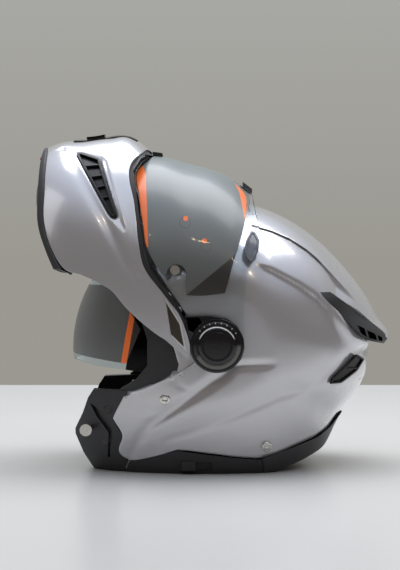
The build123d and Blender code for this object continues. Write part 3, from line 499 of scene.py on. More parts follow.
# %% Socket maths
class Value:
    """One socket of a node tree. The usual operators make Math nodes."""

    def __init__(self, tree, socket):
        self.tree, self.socket = tree, socket

    def maths(self, kind, *others):
        """One Math node of this kind, fed with this value and the others."""
        node = self.tree.nodes.new("ShaderNodeMath")
        node.operation = kind
        for place, item in enumerate((self, *others)):
            if isinstance(item, Value):
                self.tree.links.new(item.socket, node.inputs[place])
            else:
                node.inputs[place].default_value = item
        return Value(self.tree, node.outputs[0])

    def __add__(self, other):
        return self.maths("ADD", other)

    def __mul__(self, other):
        return self.maths("MULTIPLY", other)

    def __sub__(self, other):
        return self.maths("SUBTRACT", other)

    def __rsub__(self, other):
        return (self * -1) + other

    def __truediv__(self, other):
        return self.maths("DIVIDE", other)

    def __neg__(self):
        return self * -1

    def low(self, other):
        return self.maths("MINIMUM", other)

    def high(self, other):
        return self.maths("MAXIMUM", other)

    def part(self):
        """The value held between 0 and 1."""
        return self.high(0.0).low(1.0)

    def mask(self, soft=0.003):
        """1 where the value is positive and 0 where it is negative, with an edge this wide."""
        return (self / soft + 0.5).part()

    def size(self):
        return self.maths("ABSOLUTE")


print("socket maths is ready")

# %% [markdown]
# A finish is a material under construction. It reads a point's place on the object, also as
# shares in the side view, so paint lines use the same numbers as the panels' outlines.

# %% Finishes under construction
class Finish:
    """A material under construction, with its shader and its place in the side view at hand."""

    def __init__(self, name):
        self.material = bpy.data.materials.new(name)
        self.material.use_nodes = True
        self.tree = self.material.node_tree
        self.shader = self.tree.nodes["Principled BSDF"]
        self.place = Value(self.tree, self.node("ShaderNodeTexCoord").outputs["Object"])
        parts = self.node("ShaderNodeSeparateXYZ", Vector=self.place)
        x, _, z = (Value(self.tree, parts.outputs[i]) for i in range(3))
        self.back = (x - PIVOT_X) / CROWN
        self.up = (z - PIVOT_Z) / CROWN

    def node(self, kind, settings=None, **inputs):
        """A new node of this kind: settings are its properties and the rest are its inputs, by name."""
        node = self.tree.nodes.new(kind)
        for key, item in (settings or {}).items():
            setattr(node, key, item)
        for key, item in inputs.items():
            socket = node.inputs[key.replace("_", " ")]
            if isinstance(item, Value):
                self.tree.links.new(item.socket, socket)
            else:
                socket.default_value = item
        return node

    def left_of(self, start, end):
        """How far a point lies to the left of a line in the side view, in shares."""
        run_x, run_z = end[0] - start[0], end[1] - start[1]
        size = math.hypot(run_x, run_z)
        return (self.up - start[1]) * (run_x / size) - (self.back - start[0]) * (run_z / size)

    def left_of_all(self, line):
        """The least distance to the left of each run of a line."""
        best = self.left_of(line[0], line[1])
        for start, end in zip(line[1:-1], line[2:]):
            best = best.low(self.left_of(start, end))
        return best

    def away(self, centre):
        """Distance from a side view point, in shares."""
        u, v = self.back - centre[0], self.up - centre[1]
        return (u * u + v * v).maths("SQRT")

    def noise(self, scale, detail=3.0):
        """Soft noise on the object's own place."""
        node = self.node("ShaderNodeTexNoise", Vector=self.place, Scale=scale, Detail=detail)
        return Value(self.tree, node.outputs[0])

    def mix(self, factor, first, second):
        """A colour between two colours."""
        node = self.node("ShaderNodeMix", {"data_type": "RGBA"})
        for place, item in ((0, factor), (6, first), (7, second)):
            if isinstance(item, Value):
                self.tree.links.new(item.socket, node.inputs[place])
            else:
                node.inputs[place].default_value = (*item, 1) if place else item
        return Value(self.tree, node.outputs[2])

    def bump(self, height, distance):
        """Fine relief in the shading: height times distance, in metres."""
        node = self.node("ShaderNodeBump", Height=height, Distance=distance, Strength=1.0)
        self.put("Normal", Value(self.tree, node.outputs[0]))

    def put(self, name, item):
        """Feeds an input of the shader with a value, a colour or a number."""
        socket = self.shader.inputs[name]
        if isinstance(item, Value):
            self.tree.links.new(item.socket, socket)
        elif isinstance(item, tuple):
            socket.default_value = (*item, 1)
        else:
            socket.default_value = item
        return self


print("finishes can be mixed")

# %% [markdown]
# The white is a pearl paint: flakes of metal under a clear coat. That is why its flank looks
# darker than its crown: a half metallic paint shows more of the room that it faces. Fine
# noise in the roughness makes the flakes.

# %% Pearl paint
PEARL_DARK, PEARL_LIGHT = (0.53, 0.525, 0.535), (0.58, 0.575, 0.585)


def pearl_paint(name):
    """Pearl white paint, and its colour for more paint on top."""
    f = Finish(name)
    colour = f.mix(f.noise(7.0, 2.0), PEARL_DARK, PEARL_LIGHT)
    f.put("Base Color", colour)
    f.put("Roughness", f.noise(900.0, 1.0) * 0.10 + 0.16)
    f.put("Coat Weight", 0.9).put("Coat Roughness", 0.03).put("Metallic", 0.50)
    return f, colour


pearl, _ = pearl_paint("pearl white paint")
PEARL = pearl.material
print("paint:", PEARL.name)

# %% [markdown]
# Plastics, rubber, steel and cloth differ in colour, gloss and grain, so one recipe makes
# them all: a little noise between two near colours, and the same noise in the roughness.

# %% Plain finishes
def plain(name, dark, light, rough, grain=60.0, spread=0.08, bump=0.0, **sockets):
    """A finish with a little noise in its colour and roughness, and a fine grain if bump is set."""
    f = Finish(name)
    n = f.noise(grain)
    f.put("Base Color", f.mix(n, dark, light))
    f.put("Roughness", n * spread + (rough - spread / 2))
    if bump:
        f.bump(f.noise(grain * 18, 2.0), bump)
    for key, item in sockets.items():
        f.put(key.replace("_", " "), item)
    return f.material


MATTE_BLACK = plain("matte black plastic", (0.014, 0.014, 0.015), (0.024, 0.024, 0.025), 0.46, bump=0.00004)
# Black plastic darkened to near black: painted shade for the openings of the vents.
VENT_BLACK_AND_SHADE = plain(
    "black plastic with painted vent shade", (0.004, 0.004, 0.004), (0.009, 0.009, 0.009), 0.40, Specular_IOR_Level=0.25
)
GLOSS_BLACK = plain("gloss black plastic", (0.008, 0.008, 0.009), (0.016, 0.016, 0.017), 0.14)
RUBBER = plain("matte rubber", (0.018, 0.018, 0.018), (0.030, 0.030, 0.030), 0.62, bump=0.00006)
FOAM = plain("moulded foam", (0.020, 0.020, 0.021), (0.034, 0.034, 0.035), 0.82, grain=220.0, bump=0.0003)
FABRIC = plain(
    "brushed lining", (0.024, 0.024, 0.026), (0.042, 0.042, 0.045), 0.88, grain=400.0, bump=0.0003,
    Sheen_Weight=0.35,
)
WEBBING = plain("webbing", (0.012, 0.012, 0.013), (0.030, 0.030, 0.032), 0.8, grain=500.0, bump=0.0003)
STEEL = plain("bright steel", (0.62, 0.61, 0.57), (0.74, 0.73, 0.68), 0.22, Metallic=1.0)
DARK_STEEL = plain("dark steel", (0.06, 0.06, 0.062), (0.10, 0.10, 0.10), 0.36, Metallic=1.0)
RED = plain("red plastic", (0.50, 0.02, 0.02), (0.58, 0.03, 0.025), 0.30)
CLEAR = plain(
    "clear visor", (0.90, 0.94, 0.96), (0.96, 0.98, 0.99), 0.05, spread=0.02, Transmission_Weight=1.0, IOR=1.2
)
TAB = plain("smoky clear tab", (0.05, 0.055, 0.065), (0.16, 0.17, 0.19), 0.12, grain=220.0)
print("finishes so far:", len(bpy.data.materials))

# %% [markdown]
# New visors come with a grey protective film. It has orange stripes at its ends, a dark
# corner and two small pictograms, drawn here as plain rings with a dot. Each edge of the
# print is a distance to a line that a mask turns into paint. The film also has a round
# notch for the lens pin, which the mask cuts out of its Alpha.

# %% Film on the visor
ORANGE, INK, SLATE = (1.0, 0.195, 0.035), (0.035, 0.033, 0.030), (0.10, 0.105, 0.105)
FILM_SHADED, FILM_LIT = (0.100, 0.100, 0.092), (0.195, 0.225, 0.222)
FRONT_STRIPE = [(-0.463, 0.66), (-0.476, 0.943), (-0.490, 1.164), (-0.513, 1.247)]
REAR_STRIPE = [(0.195, 0.85), (0.163, 1.047), (0.134, 1.124)]
PICTOGRAMS = [((-0.214, 0.829), (-0.211, 0.858)), ((-0.072, 0.669), (-0.084, 0.704))]
PIN = (-0.272, 0.478)

film = Finish("satin protective film")
# Painted light: the film is grey, and it is painted lighter towards its top, where the light from above
# falls.
height = ((film.up - 0.45) / 0.8).part()
colour = film.mix(film.noise(9.0, 2.0) * 0.25 + height * 0.75, FILM_SHADED, FILM_LIT)
front = film.left_of_all(FRONT_STRIPE).mask() * (film.up - 0.663).mask()
rear = (-film.left_of(*REAR_STRIPE[:2])).high(-film.left_of(*REAR_STRIPE[1:]))
rear = rear.mask() * (film.up - 0.85).mask()
colour = film.mix(rear, film.mix(front, colour, ORANGE), ORANGE)
colour = film.mix((-film.left_of((-0.192, 0.351), (0.127, 0.614))).mask(), colour, INK)
for ring, dot in PICTOGRAMS:
    colour = film.mix((0.003 - (film.away(ring) - 0.036).size()).mask(0.002), colour, SLATE)
    colour = film.mix((0.017 - film.away(dot)).mask(0.002), colour, ORANGE)
notch = (0.067 - film.away(PIN)).mask()
corner = (-0.206 - film.back).mask() * (PIN[1] - film.up).mask()
film.put("Alpha", 1.0 - notch.high(corner))
film.put("Base Color", colour)
film.put("Roughness", film.noise(30.0) * 0.08 + 0.28)
film.put("Coat Weight", 0.12)
FILM = film.material
print("pictograms on the film:", len(PICTOGRAMS))

# %% [markdown]
# The sun visor has a film of its own, with one orange stripe. Behind the stripe the visor is black. Its lower
# edge is clear, and its faint blue is a painted highlight.

# %% Sun visor finishes
SUN_STRIPE = ((-0.639, -0.147), (-0.584, 0.167))
STRIPE_HALF = 0.020

sun_film = Finish("sun visor film")
stripe = sun_film.left_of(*SUN_STRIPE)
colour = sun_film.mix(sun_film.noise(14.0, 2.0), (0.105, 0.108, 0.104), (0.145, 0.148, 0.142))
colour = sun_film.mix((STRIPE_HALF - stripe).mask(), colour, ORANGE)
colour = sun_film.mix((-STRIPE_HALF - stripe).mask(), colour, INK)
sun_film.put("Base Color", colour)
sun_film.put("Roughness", sun_film.noise(40.0) * 0.08 + 0.30)
SUN_FILM = sun_film.material

clear_with_highlight = Finish("clear sun visor with a black edge")
dark_end = (-STRIPE_HALF - clear_with_highlight.left_of(*SUN_STRIPE)).mask()
# Painted highlight: the pale blue of the clear edge stands for the bluish highlight along it.
colour = clear_with_highlight.mix(clear_with_highlight.noise(12.0), (0.72, 0.84, 0.92), (0.80, 0.90, 0.96))
clear_with_highlight.put("Base Color", clear_with_highlight.mix(dark_end, colour, (0.004, 0.004, 0.004)))
clear_with_highlight.put("Roughness", clear_with_highlight.noise(60.0) * 0.02 + 0.04)
clear_with_highlight.put("Transmission Weight", 1.0).put("IOR", 1.2)
SUN_CLEAR = clear_with_highlight.material
print("sun visor:", SUN_FILM.name, "and", SUN_CLEAR.name)

# %% [markdown]
# The pivot caps carry marks: a pale arc, a row of painted glints above it and a grey sweep below. All of them
# are distances from the pivot, and the glints are a sine wave of the angle.

# %% Marks and painted glints on the pivot caps
SWEEP_RADIUS, ARC_RADIUS, TICK_GLINT_RADIUS = 0.0180, 0.0157, 0.0190
TICK_GLINTS_A_TURN = 24.0

cap = Finish("gloss black cap with marks")
reach = cap.away((0, 0)) * CROWN
colour = cap.mix(cap.noise(80.0), (0.006, 0.006, 0.007), (0.014, 0.014, 0.015))
lower_right = (-cap.up).mask(0.02) * (-cap.left_of((0, 0), (0.87, 0.5))).mask(0.02)
sweep = (0.0021 - (reach - SWEEP_RADIUS).size()).mask(0.0003) * lower_right
colour = cap.mix(sweep, colour, (0.11, 0.105, 0.095))
arc = (0.00045 - (reach - ARC_RADIUS).size()).mask(0.0003) * (cap.up - 0.05).mask(0.02)
colour = cap.mix(arc, colour, (0.75, 0.75, 0.72))
# Painted highlight: small bright glints in a row round the top of the cap.
wave = (cap.up.maths("ARCTAN2", cap.back) * TICK_GLINTS_A_TURN).maths("SINE")
tick_glints = (wave - 0.90).mask(0.1) * (0.0006 - (reach - TICK_GLINT_RADIUS).size()).mask(0.0003)
colour = cap.mix(tick_glints * (cap.up - 0.08).mask(0.01), colour, (0.5, 0.5, 0.48))
# Painted shade: the knob's slot is not cut in the mesh, so it is painted near black for the shade inside it.
slot = (0.036 - cap.back.size()).low(0.010 - cap.up.size()).mask(0.002)
cap.put("Base Color", cap.mix(slot, colour, (0.001, 0.001, 0.001)))
cap.put("Roughness", slot * 0.5 + (cap.noise(60.0) * 0.06 + 0.08))
CAP = cap.material
print("ticks round a whole turn:", int(TICK_GLINTS_A_TURN))

# %% [markdown]
# The plate on each arm is bare bronze with a bright edge on three sides.

# %% Badge
BADGE_EDGES = [
    ((-0.203, -0.040), (-0.240, 0.150)), ((-0.240, 0.150), (-0.345, 0.318)),
    ((-0.305, 0.060), (-0.203, -0.040)),
]
BRIGHT_EDGE = 0.011

badge = Finish("satin badge with a bright edge")
colour = badge.mix(badge.noise(160.0), (0.050, 0.044, 0.033), (0.085, 0.075, 0.058))
inner = badge.left_of(*BADGE_EDGES[0])
for edge in BADGE_EDGES[1:]:
    inner = inner.low(badge.left_of(*edge))
badge.put("Base Color", badge.mix((BRIGHT_EDGE - inner).mask(), colour, (0.72, 0.72, 0.70)))
badge.put("Metallic", 0.7)
badge.put("Roughness", badge.noise(90.0) * 0.1 + 0.24)
BADGE = badge.material
print("bright edges on the badge:", len(BADGE_EDGES))

# %% [markdown]
# A shadow gap runs below the spoiler's edge. It is too narrow for the mesh, so it is a dark
# line in the paint that fades towards the rear.

# %% Spoiler paint
GROOVE = [
    (0.235, 0.822), (0.390, 0.778), (0.519, 0.722), (0.632, 0.648), (0.734, 0.562), (0.861, 0.42),
    (0.953, 0.327), (1.122, 0.146), (1.247, 0.012),
]
GAP_WIDTH = 0.014
GAP_RUN = [GROOVE[i] for i in (8, 5, 4, 3, 2, 1, 0)]

spoiler_paint, colour = pearl_paint("pearl white paint with a shadow gap")
below = spoiler_paint.left_of_all(GAP_RUN)
gap = below.mask() * (GAP_WIDTH - below).mask() * (0.80 - spoiler_paint.back).mask(0.25)
spoiler_paint.put("Base Color", spoiler_paint.mix(gap, colour, (0.05, 0.045, 0.04)))
SPOILER_PAINT = spoiler_paint.material
print("points on the gap:", len(GAP_RUN))

# %% [markdown]
# Each finished piece is dressed in one call: its material, the body that it rides on, and the CAD nodes that
# it stands for, which are hidden.

# %% Dressing a piece
def dress(obj, material, body, name=None, *replaced):
    """Gives a piece its material and its body, and hides the CAD nodes it stands for; the record's slot,
    name, is not used.
    """
    obj.data.materials.clear()
    obj.data.materials.append(material)
    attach(obj, body)
    if replaced:
        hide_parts(*replaced)
    return obj


print(len(bpy.data.materials), "materials")

# %% [markdown]
# ## The white shell
#
# The shell is one moulding, painted all over. Its patch has four sides: the front edge from
# the brow down the eye port to the jaw, the lower edge, and the rim over the crown. The
# fourth side is a single point at the brow.

# %% Patch of the shell
SHELL_WALL = 0.0034
ROWS, COLS = 200, 106  # one point about every two millimetres
port = shell.trace(
    ROWS,
    [
        (-0.96, 0.536), (-0.915, 0.534), (-0.779, 0.534), (-0.619, 0.454), (-0.459, 0.294), (-0.339, 0.110),
        (-0.257, -0.126),
    ],
    [(-0.257, -0.126), (-0.284, -0.222)],
    [(-0.284, -0.222), (-0.568, -0.341), (-0.631, -0.350)],
    [(-0.631, -0.350), (-0.707, -0.502)],
    [(-0.707, -0.502), (-0.644, -0.622), (-0.668, -0.744), (-0.604, -0.810)],
)
hem = shell.trace(
    COLS,
    [(-0.604, -0.810), (-0.267, -0.721)],
    [(-0.267, -0.721), (0.090, -0.768), (0.285, -0.789)],
    [(0.285, -0.789), (0.710, -0.658), (0.814, -0.599), (0.883, -0.530), (1.00, -0.495)],
)
brow_angle, back_angle = to_rim(port, 0), to_rim(hem, -1)
crown = rim(ROWS, brow_angle, back_angle)
brow = np.repeat(port[:1], COLS, 0)
shell_chart = coons(port, crown, brow, hem)
at = to_shares(shell.lift(shell_chart))
back = at[..., 0]
print("shell patch:", shell_chart.shape, "brow at", round(brow_angle), "degrees")

# %% [markdown]
# The paint is creased by lines that run back from the chin and the eye port. They were
# measured in the side view as lines through a few points.

# %% Lines of the creases
# From under the pivot cap forwards and down to the front corner of the jaw.
CHEEK = [
    (0.071, -0.165), (-0.053, -0.245), (-0.177, -0.335), (-0.309, -0.428), (-0.474, -0.535), (-0.57, -0.68),
    (-0.628, -0.79),
]
# A second line a few millimetres below that one.
BAND = [
    (-0.02, -0.25), (-0.113, -0.332), (-0.31, -0.498), (-0.405, -0.57), (-0.502, -0.681), (-0.602, -0.80),
]
# From the jaw's lower edge back and up to the lower rear vent.
REAR = [
    (-0.385, -0.645), (-0.177, -0.589), (0.133, -0.462), (0.422, -0.341), (0.613, -0.294), (0.763, -0.194),
]
# Straight back from under the pivot cap.
SHORT = [(0.05, -0.157), (0.194, -0.147), (0.369, -0.14)]
# A fine seam from the lower corner of the eye port.
SEAM = [(-0.29, -0.235), (-0.232, -0.289), (-0.172, -0.307)]
# The edge of the crown band, from behind the visor down to the tail.
LIP = [
    (0.257, 0.555), (0.381, 0.500), (0.559, 0.404), (0.676, 0.321), (0.758, 0.239), (0.847, 0.115),
    (0.943, 0.005), (1.01, -0.009), (1.178, -0.049),
]
# Along the foot of the upper rear vent.
UPPER_VENT_FOOT = [(0.709, 0.354), (0.856, 0.199), (0.954, 0.096), (1.031, 0.023), (1.189, -0.016)]
# Between the upper and the lower rear vent.
VALLEY = [(0.763, -0.199), (0.842, -0.156), (0.971, -0.059), (1.155, -0.032)]
# Under the lower rear vent.
LOW_FOLD = [(0.695, -0.43), (0.77, -0.358), (0.882, -0.301), (0.993, -0.281)]
# Below the front strap rivet.
RIVET_FACET = [(-0.63, -0.39), (-0.543, -0.423), (-0.422, -0.447), (-0.344, -0.428)]
# The outline of the lower rear vent.
LOWER_VENT = [
    (0.792, -0.240), (0.981, -0.081), (1.045, -0.121), (0.984, -0.198), (0.861, -0.274), (0.778, -0.275),
]
CREASES = [CHEEK, BAND, REAR, SHORT, SEAM, LIP, UPPER_VENT_FOOT, VALLEY, LOW_FOLD, RIVET_FACET]
print("creases on each side:", len(CREASES))

# %% [markdown]
# Each crease moves the surface in or out by up to three millimetres near its line. Ramps
# along the helmet let it rise and die away, because a crease that stops short looks cut.
# The sum could reach the foam under the shell, so the dips level off with a tanh.

# %% Relief of the jaw and the flank
DEEPEST = 0.0031  # where the dips level off

out = np.zeros(back.shape)
cheek, band = line_distance(at, CHEEK), line_distance(at, BAND)
jaw = ramp(back - (-0.62), 0.1) * ramp(0.10 - back, 0.12)
# A groove just below the cheek line, and a slight dip between it and the second line.
out += -0.0022 * hollow(cheek - 0.002, 0.0042) * jaw
out += -0.0016 * ramp(-cheek, 0.006) * ramp(band, 0.012) * jaw
# Below the rear line the flank lies lower, and a soft hollow runs along its upper side.
rear = line_distance(at, REAR)
out += -0.0020 * fading(rear, 0.016) * ramp(-rear, 0.006) * ramp(back + 0.30, 0.3)
out += -0.0026 * hollow(rear, 0.010) * ramp(back + 0.25, 0.3) * ramp(rear + 0.004, 0.006)
# A short dent, the fine seam and the dip below the rivet.
short = line_distance(at, SHORT)
out += -0.0014 * hollow(short - 0.0015, 0.0030) * ramp(0.36 - back, 0.2) * ramp(back - 0.02, 0.1)
out += -0.0006 * hollow(line_distance(at, SEAM), 0.0013)
out += -0.0008 * hollow(line_distance(at, RIVET_FACET), 0.004)
print("deepest dip so far:", float(out.min()))

# %% Relief of the crown band and the tail
# The crown band ends in a step: a ridge above its edge and a dip below, and both fade.
lip = line_distance(at, LIP)
step = ramp(lip, 0.0036)
along = ramp(back - 0.30, 0.14)
out += 0.0021 * step * fading(lip, 0.024) * along * ramp(0.80 - back, 0.20)
out += -0.0010 * (1 - step) * fading(-lip, 0.020) * along
# A ridge carries the upper vent, and a valley lies between it and the lower one.
foot = line_distance(at, UPPER_VENT_FOOT)
out += 0.0030 * hollow(foot + 0.004, 0.006) * ramp(back - 0.76, 0.16) * ramp(1.15 - back, 0.1)
out += -0.0022 * hollow(line_distance(at, VALLEY), 0.005) * ramp(back - 0.77, 0.08)
# The flank steps in below the fold, and the lower vent lies in a recess.
fold = line_distance(at, LOW_FOLD)
out += -0.0014 * ramp(-fold, 0.005) * fading(-fold, 0.016) * ramp(back - 0.72, 0.1)
out += -0.0024 * ramp(inside_distance(at, LOWER_VENT) + 0.0002, 0.002)
out = np.where(out < 0, -DEEPEST * np.tanh(-out / DEEPEST), out)
print("highest ridge:", float(out.max()), "deepest dip:", float(out.min()))

# %% Outer shell
outer = mirror_join(shell.lift(shell_chart, out), 1)
shell_obj = panel("outer_shell_skin", outer, SHELL_WALL, flip=True)
dress(shell_obj, PEARL, "helmet_shell", "shell_white", "outer_shell")
print("shell:", outer.shape)

# %% [markdown]
# ## The crown spoiler
#
# The spoiler is a shallow cap over the crown that grows into a tail. Its top is a form of
# its own, its underside lies inside the shell's wall, and a skirt joins the two. Below the
# shadow gap its top sinks under the shell, so the band there is the shell's own paint.

# %% Patch of the spoiler
SPOILER_LINES, SPOILER_COLUMNS = 130, 60
tail = Form(SPOILER_ROWS, SHELL_SIDE + 0.0015)
low_line = tail.trace(
    SPOILER_LINES,
    [(0.245, 0.80), (0.30, 0.775), (0.519, 0.69), (0.64, 0.56), (0.705, 0.43)],
    [(0.705, 0.43), (0.76, 0.375), (0.80, 0.352), (1.01, 0.208), (1.222, 0.024)],
)
front_line = tail.trace(SPOILER_COLUMNS, [(0.245, 0.80), (0.236, 0.90), (0.235, 1.02)])
front_angle = to_rim(front_line, -1)
low_line[0] = front_line[0]
tip_angle = math.degrees(math.atan2(low_line[-1, 1], low_line[-1, 0]))
rho = np.linspace(np.hypot(*low_line[-1]), 1, SPOILER_COLUMNS)[:, None]
tip_line = low_line[-1] / np.hypot(*low_line[-1]) * rho
tail_chart = coons(low_line, rim(SPOILER_LINES, front_angle, tip_angle), front_line, tip_line)
tail_chart /= np.maximum(np.hypot(tail_chart[..., :1], tail_chart[..., 1:]), 1)
print("spoiler patch:", tail_chart.shape)

# %% Spoiler
high = tail.lift(tail_chart)
sunk, low = shell.lift(tail_chart, -0.0014), shell.lift(tail_chart, -0.0022)
tail_at = to_shares(high)
under = -line_distance(tail_at, GROOVE)
sinks = ramp(under - 0.0012, 0.0024) * (1 - ramp(tail_at[..., 0] - 0.88, 0.26))
top = sunk + (high - sunk) * (1 - sinks)[..., None]
spoiler = welded("crown_spoiler_skin", *slab(mirror_join(top, 1), mirror_join(low, 1)))
dress(crisp(spoiler, 50), SPOILER_PAINT, "helmet_shell", "shell_white", "crown_spoiler")
print("tail stands off by", float(np.max(np.linalg.norm(high - low, axis=-1))))

# %% [markdown]
# ## Vents and rivets
#
# Each vent is a raised frame round a dark plate, crossed by thin ribs. Its black is darker than plastic:
# painted shade for the openings behind the ribs. One side is made from closed pieces on the form and the
# other side is its mirror image.

# %% Vents on both sides
def vent(name, form, outline, ribs, body, slot, node, width=0.0016, proud=0.0007, deep=-0.0018):
    """A vent on both sides: frame, plate and ribs, at these distances out of the form."""
    for left, end in ((False, "right"), (True, "left")):
        islands = [(ring_bar(form, outline, width, proud, deep - 0.0004), True, True)]
        islands.append((plate(form, outline, width * 0.5, deep, deep - 0.0006), True, False))
        for start, finish in ribs:
            islands.append((rib(form, start, finish, 0.0011, proud * 0.6, deep - 0.0002), False, True))
        if left:
            islands = [(mirrored(grid), rows, cols) for grid, rows, cols in islands]
        obj = crisp(welded(f"{name}_{end}", *islands), 40)
        dress(obj, VENT_BLACK_AND_SHADE, body, slot, f"{node}_{end}")


vent(
    "rear_lower_vent_skin", shell, LOWER_VENT, [((0.883, -0.175), (0.987, -0.18))],
    "helmet_shell", "frame_black", "rear_lower_vent", deep=-0.0009,
)
print("rear lower vents made")

# %% [markdown]
# The strap rivets are turned steel heads with a punched middle. They lie square on the
# shell, so each one takes its axis from the way out of the form at its own place.

# %% Strap rivets
RIVETS = [(-0.350, -0.365), (0.342, -0.697)]
RIVET_HEAD = [
    (0, -0.0020), (0.0046, -0.0020), (0.0046, 0.0002), (0.0043, 0.0006), (0.0036, 0.0009), (0.0026, 0.0010),
    (0.0021, 0.0004), (0.0017, 0.0001), (0, 0.0001),
]
heads = []
for share in RIVETS:
    head = turned(*outward(shell, share), RIVET_HEAD)
    heads += [(head, False, True), (mirrored(head), False, True)]
dress(crisp(welded("strap_rivet_heads", *heads), 40), STEEL, "helmet_shell", "bright_metal", "strap_rivets")
print("rivet heads:", len(heads))

# %% [markdown]
# ## The chin bar
#
# The chin bar's white cover lies between the visor window and the lower edge. It starts at
# the tip of the arm and ends in the middle plane, so it is a patch like the shell.

# %% Patch of the chin cover
COVER_POINTS, COVER_WIDE = 170, 90
cover = Form(COVER_ROWS, COVER_SIDE)
window = cover.trace(
    COVER_POINTS,
    [
        (-0.194, -0.091), (-0.185, -0.060), (-0.225, 0.146), (-0.355, 0.342), (-0.486, 0.518),
        (-0.526, 0.679), (-0.560, 0.954), (-0.602, 1.213), (-0.546, 1.303), (-0.462, 1.365),
    ],
)
chin_edge = cover.trace(
    COVER_POINTS,
    [
        (-0.194, -0.091), (-0.446, 0.108), (-0.618, 0.263), (-0.719, 0.377), (-0.801, 0.422), (-0.908, 0.470),
        (-1.025, 0.507), (-1.135, 0.665), (-1.182, 0.810), (-1.193, 1.063), (-1.200, 1.356), (-1.222, 1.392),
    ],
)
angles = to_rim(window, -1), to_rim(chin_edge, -1)
tip = np.repeat(window[:1], COVER_WIDE, 0)
cover_chart = coons(window, chin_edge, tip, rim(COVER_WIDE, *angles))
cover_at = to_shares(cover.lift(cover_chart))
print("cover patch:", cover_chart.shape)

# %% [markdown]
# A long triangular recess holds the side vent, and a soft fold runs from it down the arm.

# %% Chin cover
COVER_WALL = 0.0029
SIDE_VENT = [
    (-0.985, 1.33), (-0.943, 1.329), (-0.815, 1.282), (-0.678, 0.875), (-0.692, 0.864), (-0.722, 0.872),
]
RECESS = [
    (-1.154, 1.352), (-1.085, 1.380), (-0.802, 1.311), (-0.760, 1.270), (-0.617, 0.786), (-0.632, 0.772),
    (-0.752, 0.898), (-0.978, 1.304), (-1.062, 1.345),
]
FOLD = [(-1.053, 1.34), (-0.926, 1.127), (-0.767, 0.868), (-0.622, 0.574), (-0.526, 0.429)]
cover_out = -0.0013 * ramp(inside_distance(cover_at, RECESS) - 0.001, 0.0034)
cover_out += -0.0018 * ramp(inside_distance(cover_at, SIDE_VENT) + 0.0004, 0.002)
cover_out += -0.0009 * hollow(line_distance(cover_at, FOLD), 0.0045) * ramp(1.30 - cover_at[..., 1], 0.2)
cover_grid = mirror_join(cover.lift(cover_chart, cover_out), 0)
cover_obj = panel("chin_cover_skin", cover_grid, COVER_WALL, flip=True)
dress(cover_obj, PEARL, "chin_bar", "shell_white", "chin_cover")
print("cover:", cover_grid.shape)

# %% Side vents of the chin bar
SIDE_RIBS = [
    ((-0.905, 1.228), (-0.815, 1.236)), ((-0.862, 1.148), (-0.790, 1.160)),
    ((-0.820, 1.072), (-0.762, 1.086)), ((-0.780, 0.998), (-0.735, 1.010)),
]
vent(
    "chin_side_vent_skin", cover, SIDE_VENT, SIDE_RIBS, "chin_bar", "gloss_black", "chin_side_vent",
    width=0.0019, deep=-0.0022,
)
print("ribs in each side vent:", len(SIDE_RIBS))

# %% [markdown]
# A rubber lip closes the chin bar against the shell. It is one bar with a rounded section,
# carried along the lower edge of the cover from one side to the other.

# %% Rubber lip
LIP_SECTION = soft_profile(0.008, 0.0012, -0.011)
lip_out = cover.trace(
    COVER_POINTS,
    [
        (-1.116, 0.513), (-1.174, 0.642), (-1.230, 0.806), (-1.242, 1.033), (-1.240, 1.307), (-1.234, 1.361),
        (-1.228, 1.385),
    ],
)
lip_in = cover.trace(
    COVER_POINTS,
    [(-1.054, 0.506), (-1.138, 0.664), (-1.185, 0.810), (-1.196, 1.063), (-1.203, 1.356), (-1.218, 1.386)],
)
to_rim(lip_out, -1)
to_rim(lip_in, -1)
lip_grid = mirror_join(strip(cover, lip_in, lip_out, LIP_SECTION), 0)
dress(bar("chin_lip_rubber", lip_grid), RUBBER, "chin_bar", "lip_rubber", "chin_lip")
print("lip:", lip_grid.shape)

# %% [markdown]
# ## The visor and its film
#
# The visor is a clear moulding with a form of its own, a little wider than the shell. Its
# film is a second, very thin panel just outside it, so that the film can have its own edge.

# %% Visor
VISOR_POINTS, VISOR_WALL = 150, 0.0021
glass = Form(VISOR_ROWS, VISOR_SIDE)
low_edge = glass.trace(
    VISOR_POINTS,
    [
        (-0.205, 0.100), (-0.205, 0.170), (-0.325, 0.360), (-0.452, 0.535), (-0.495, 0.690), (-0.530, 0.954),
        (-0.568, 1.190), (-0.520, 1.280), (-0.440, 1.33),
    ],
)
top_edge = glass.trace(
    VISOR_POINTS,
    [
        (0.176, 0.020), (0.186, 0.317), (0.198, 0.440), (0.235, 0.566), (0.290, 0.706), (0.293, 0.810),
        (0.272, 0.924), (0.262, 1.04), (0.262, 1.06),
    ],
)
angles = to_rim(low_edge, -1), to_rim(top_edge, -1)
ear = glass.trace(80, [(-0.205, 0.100), (-0.16, -0.07), (0.0, -0.176), (0.15, -0.09), (0.176, 0.020)])
visor_grid = mirror_join(glass.lift(coons(low_edge, top_edge, ear, rim(80, *angles))), 0)
visor_obj = panel("visor_shield", visor_grid, VISOR_WALL, soft=0.0005)
dress(visor_obj, CLEAR, "face_visor", "clear_visor", "visor")
print("visor:", visor_grid.shape)

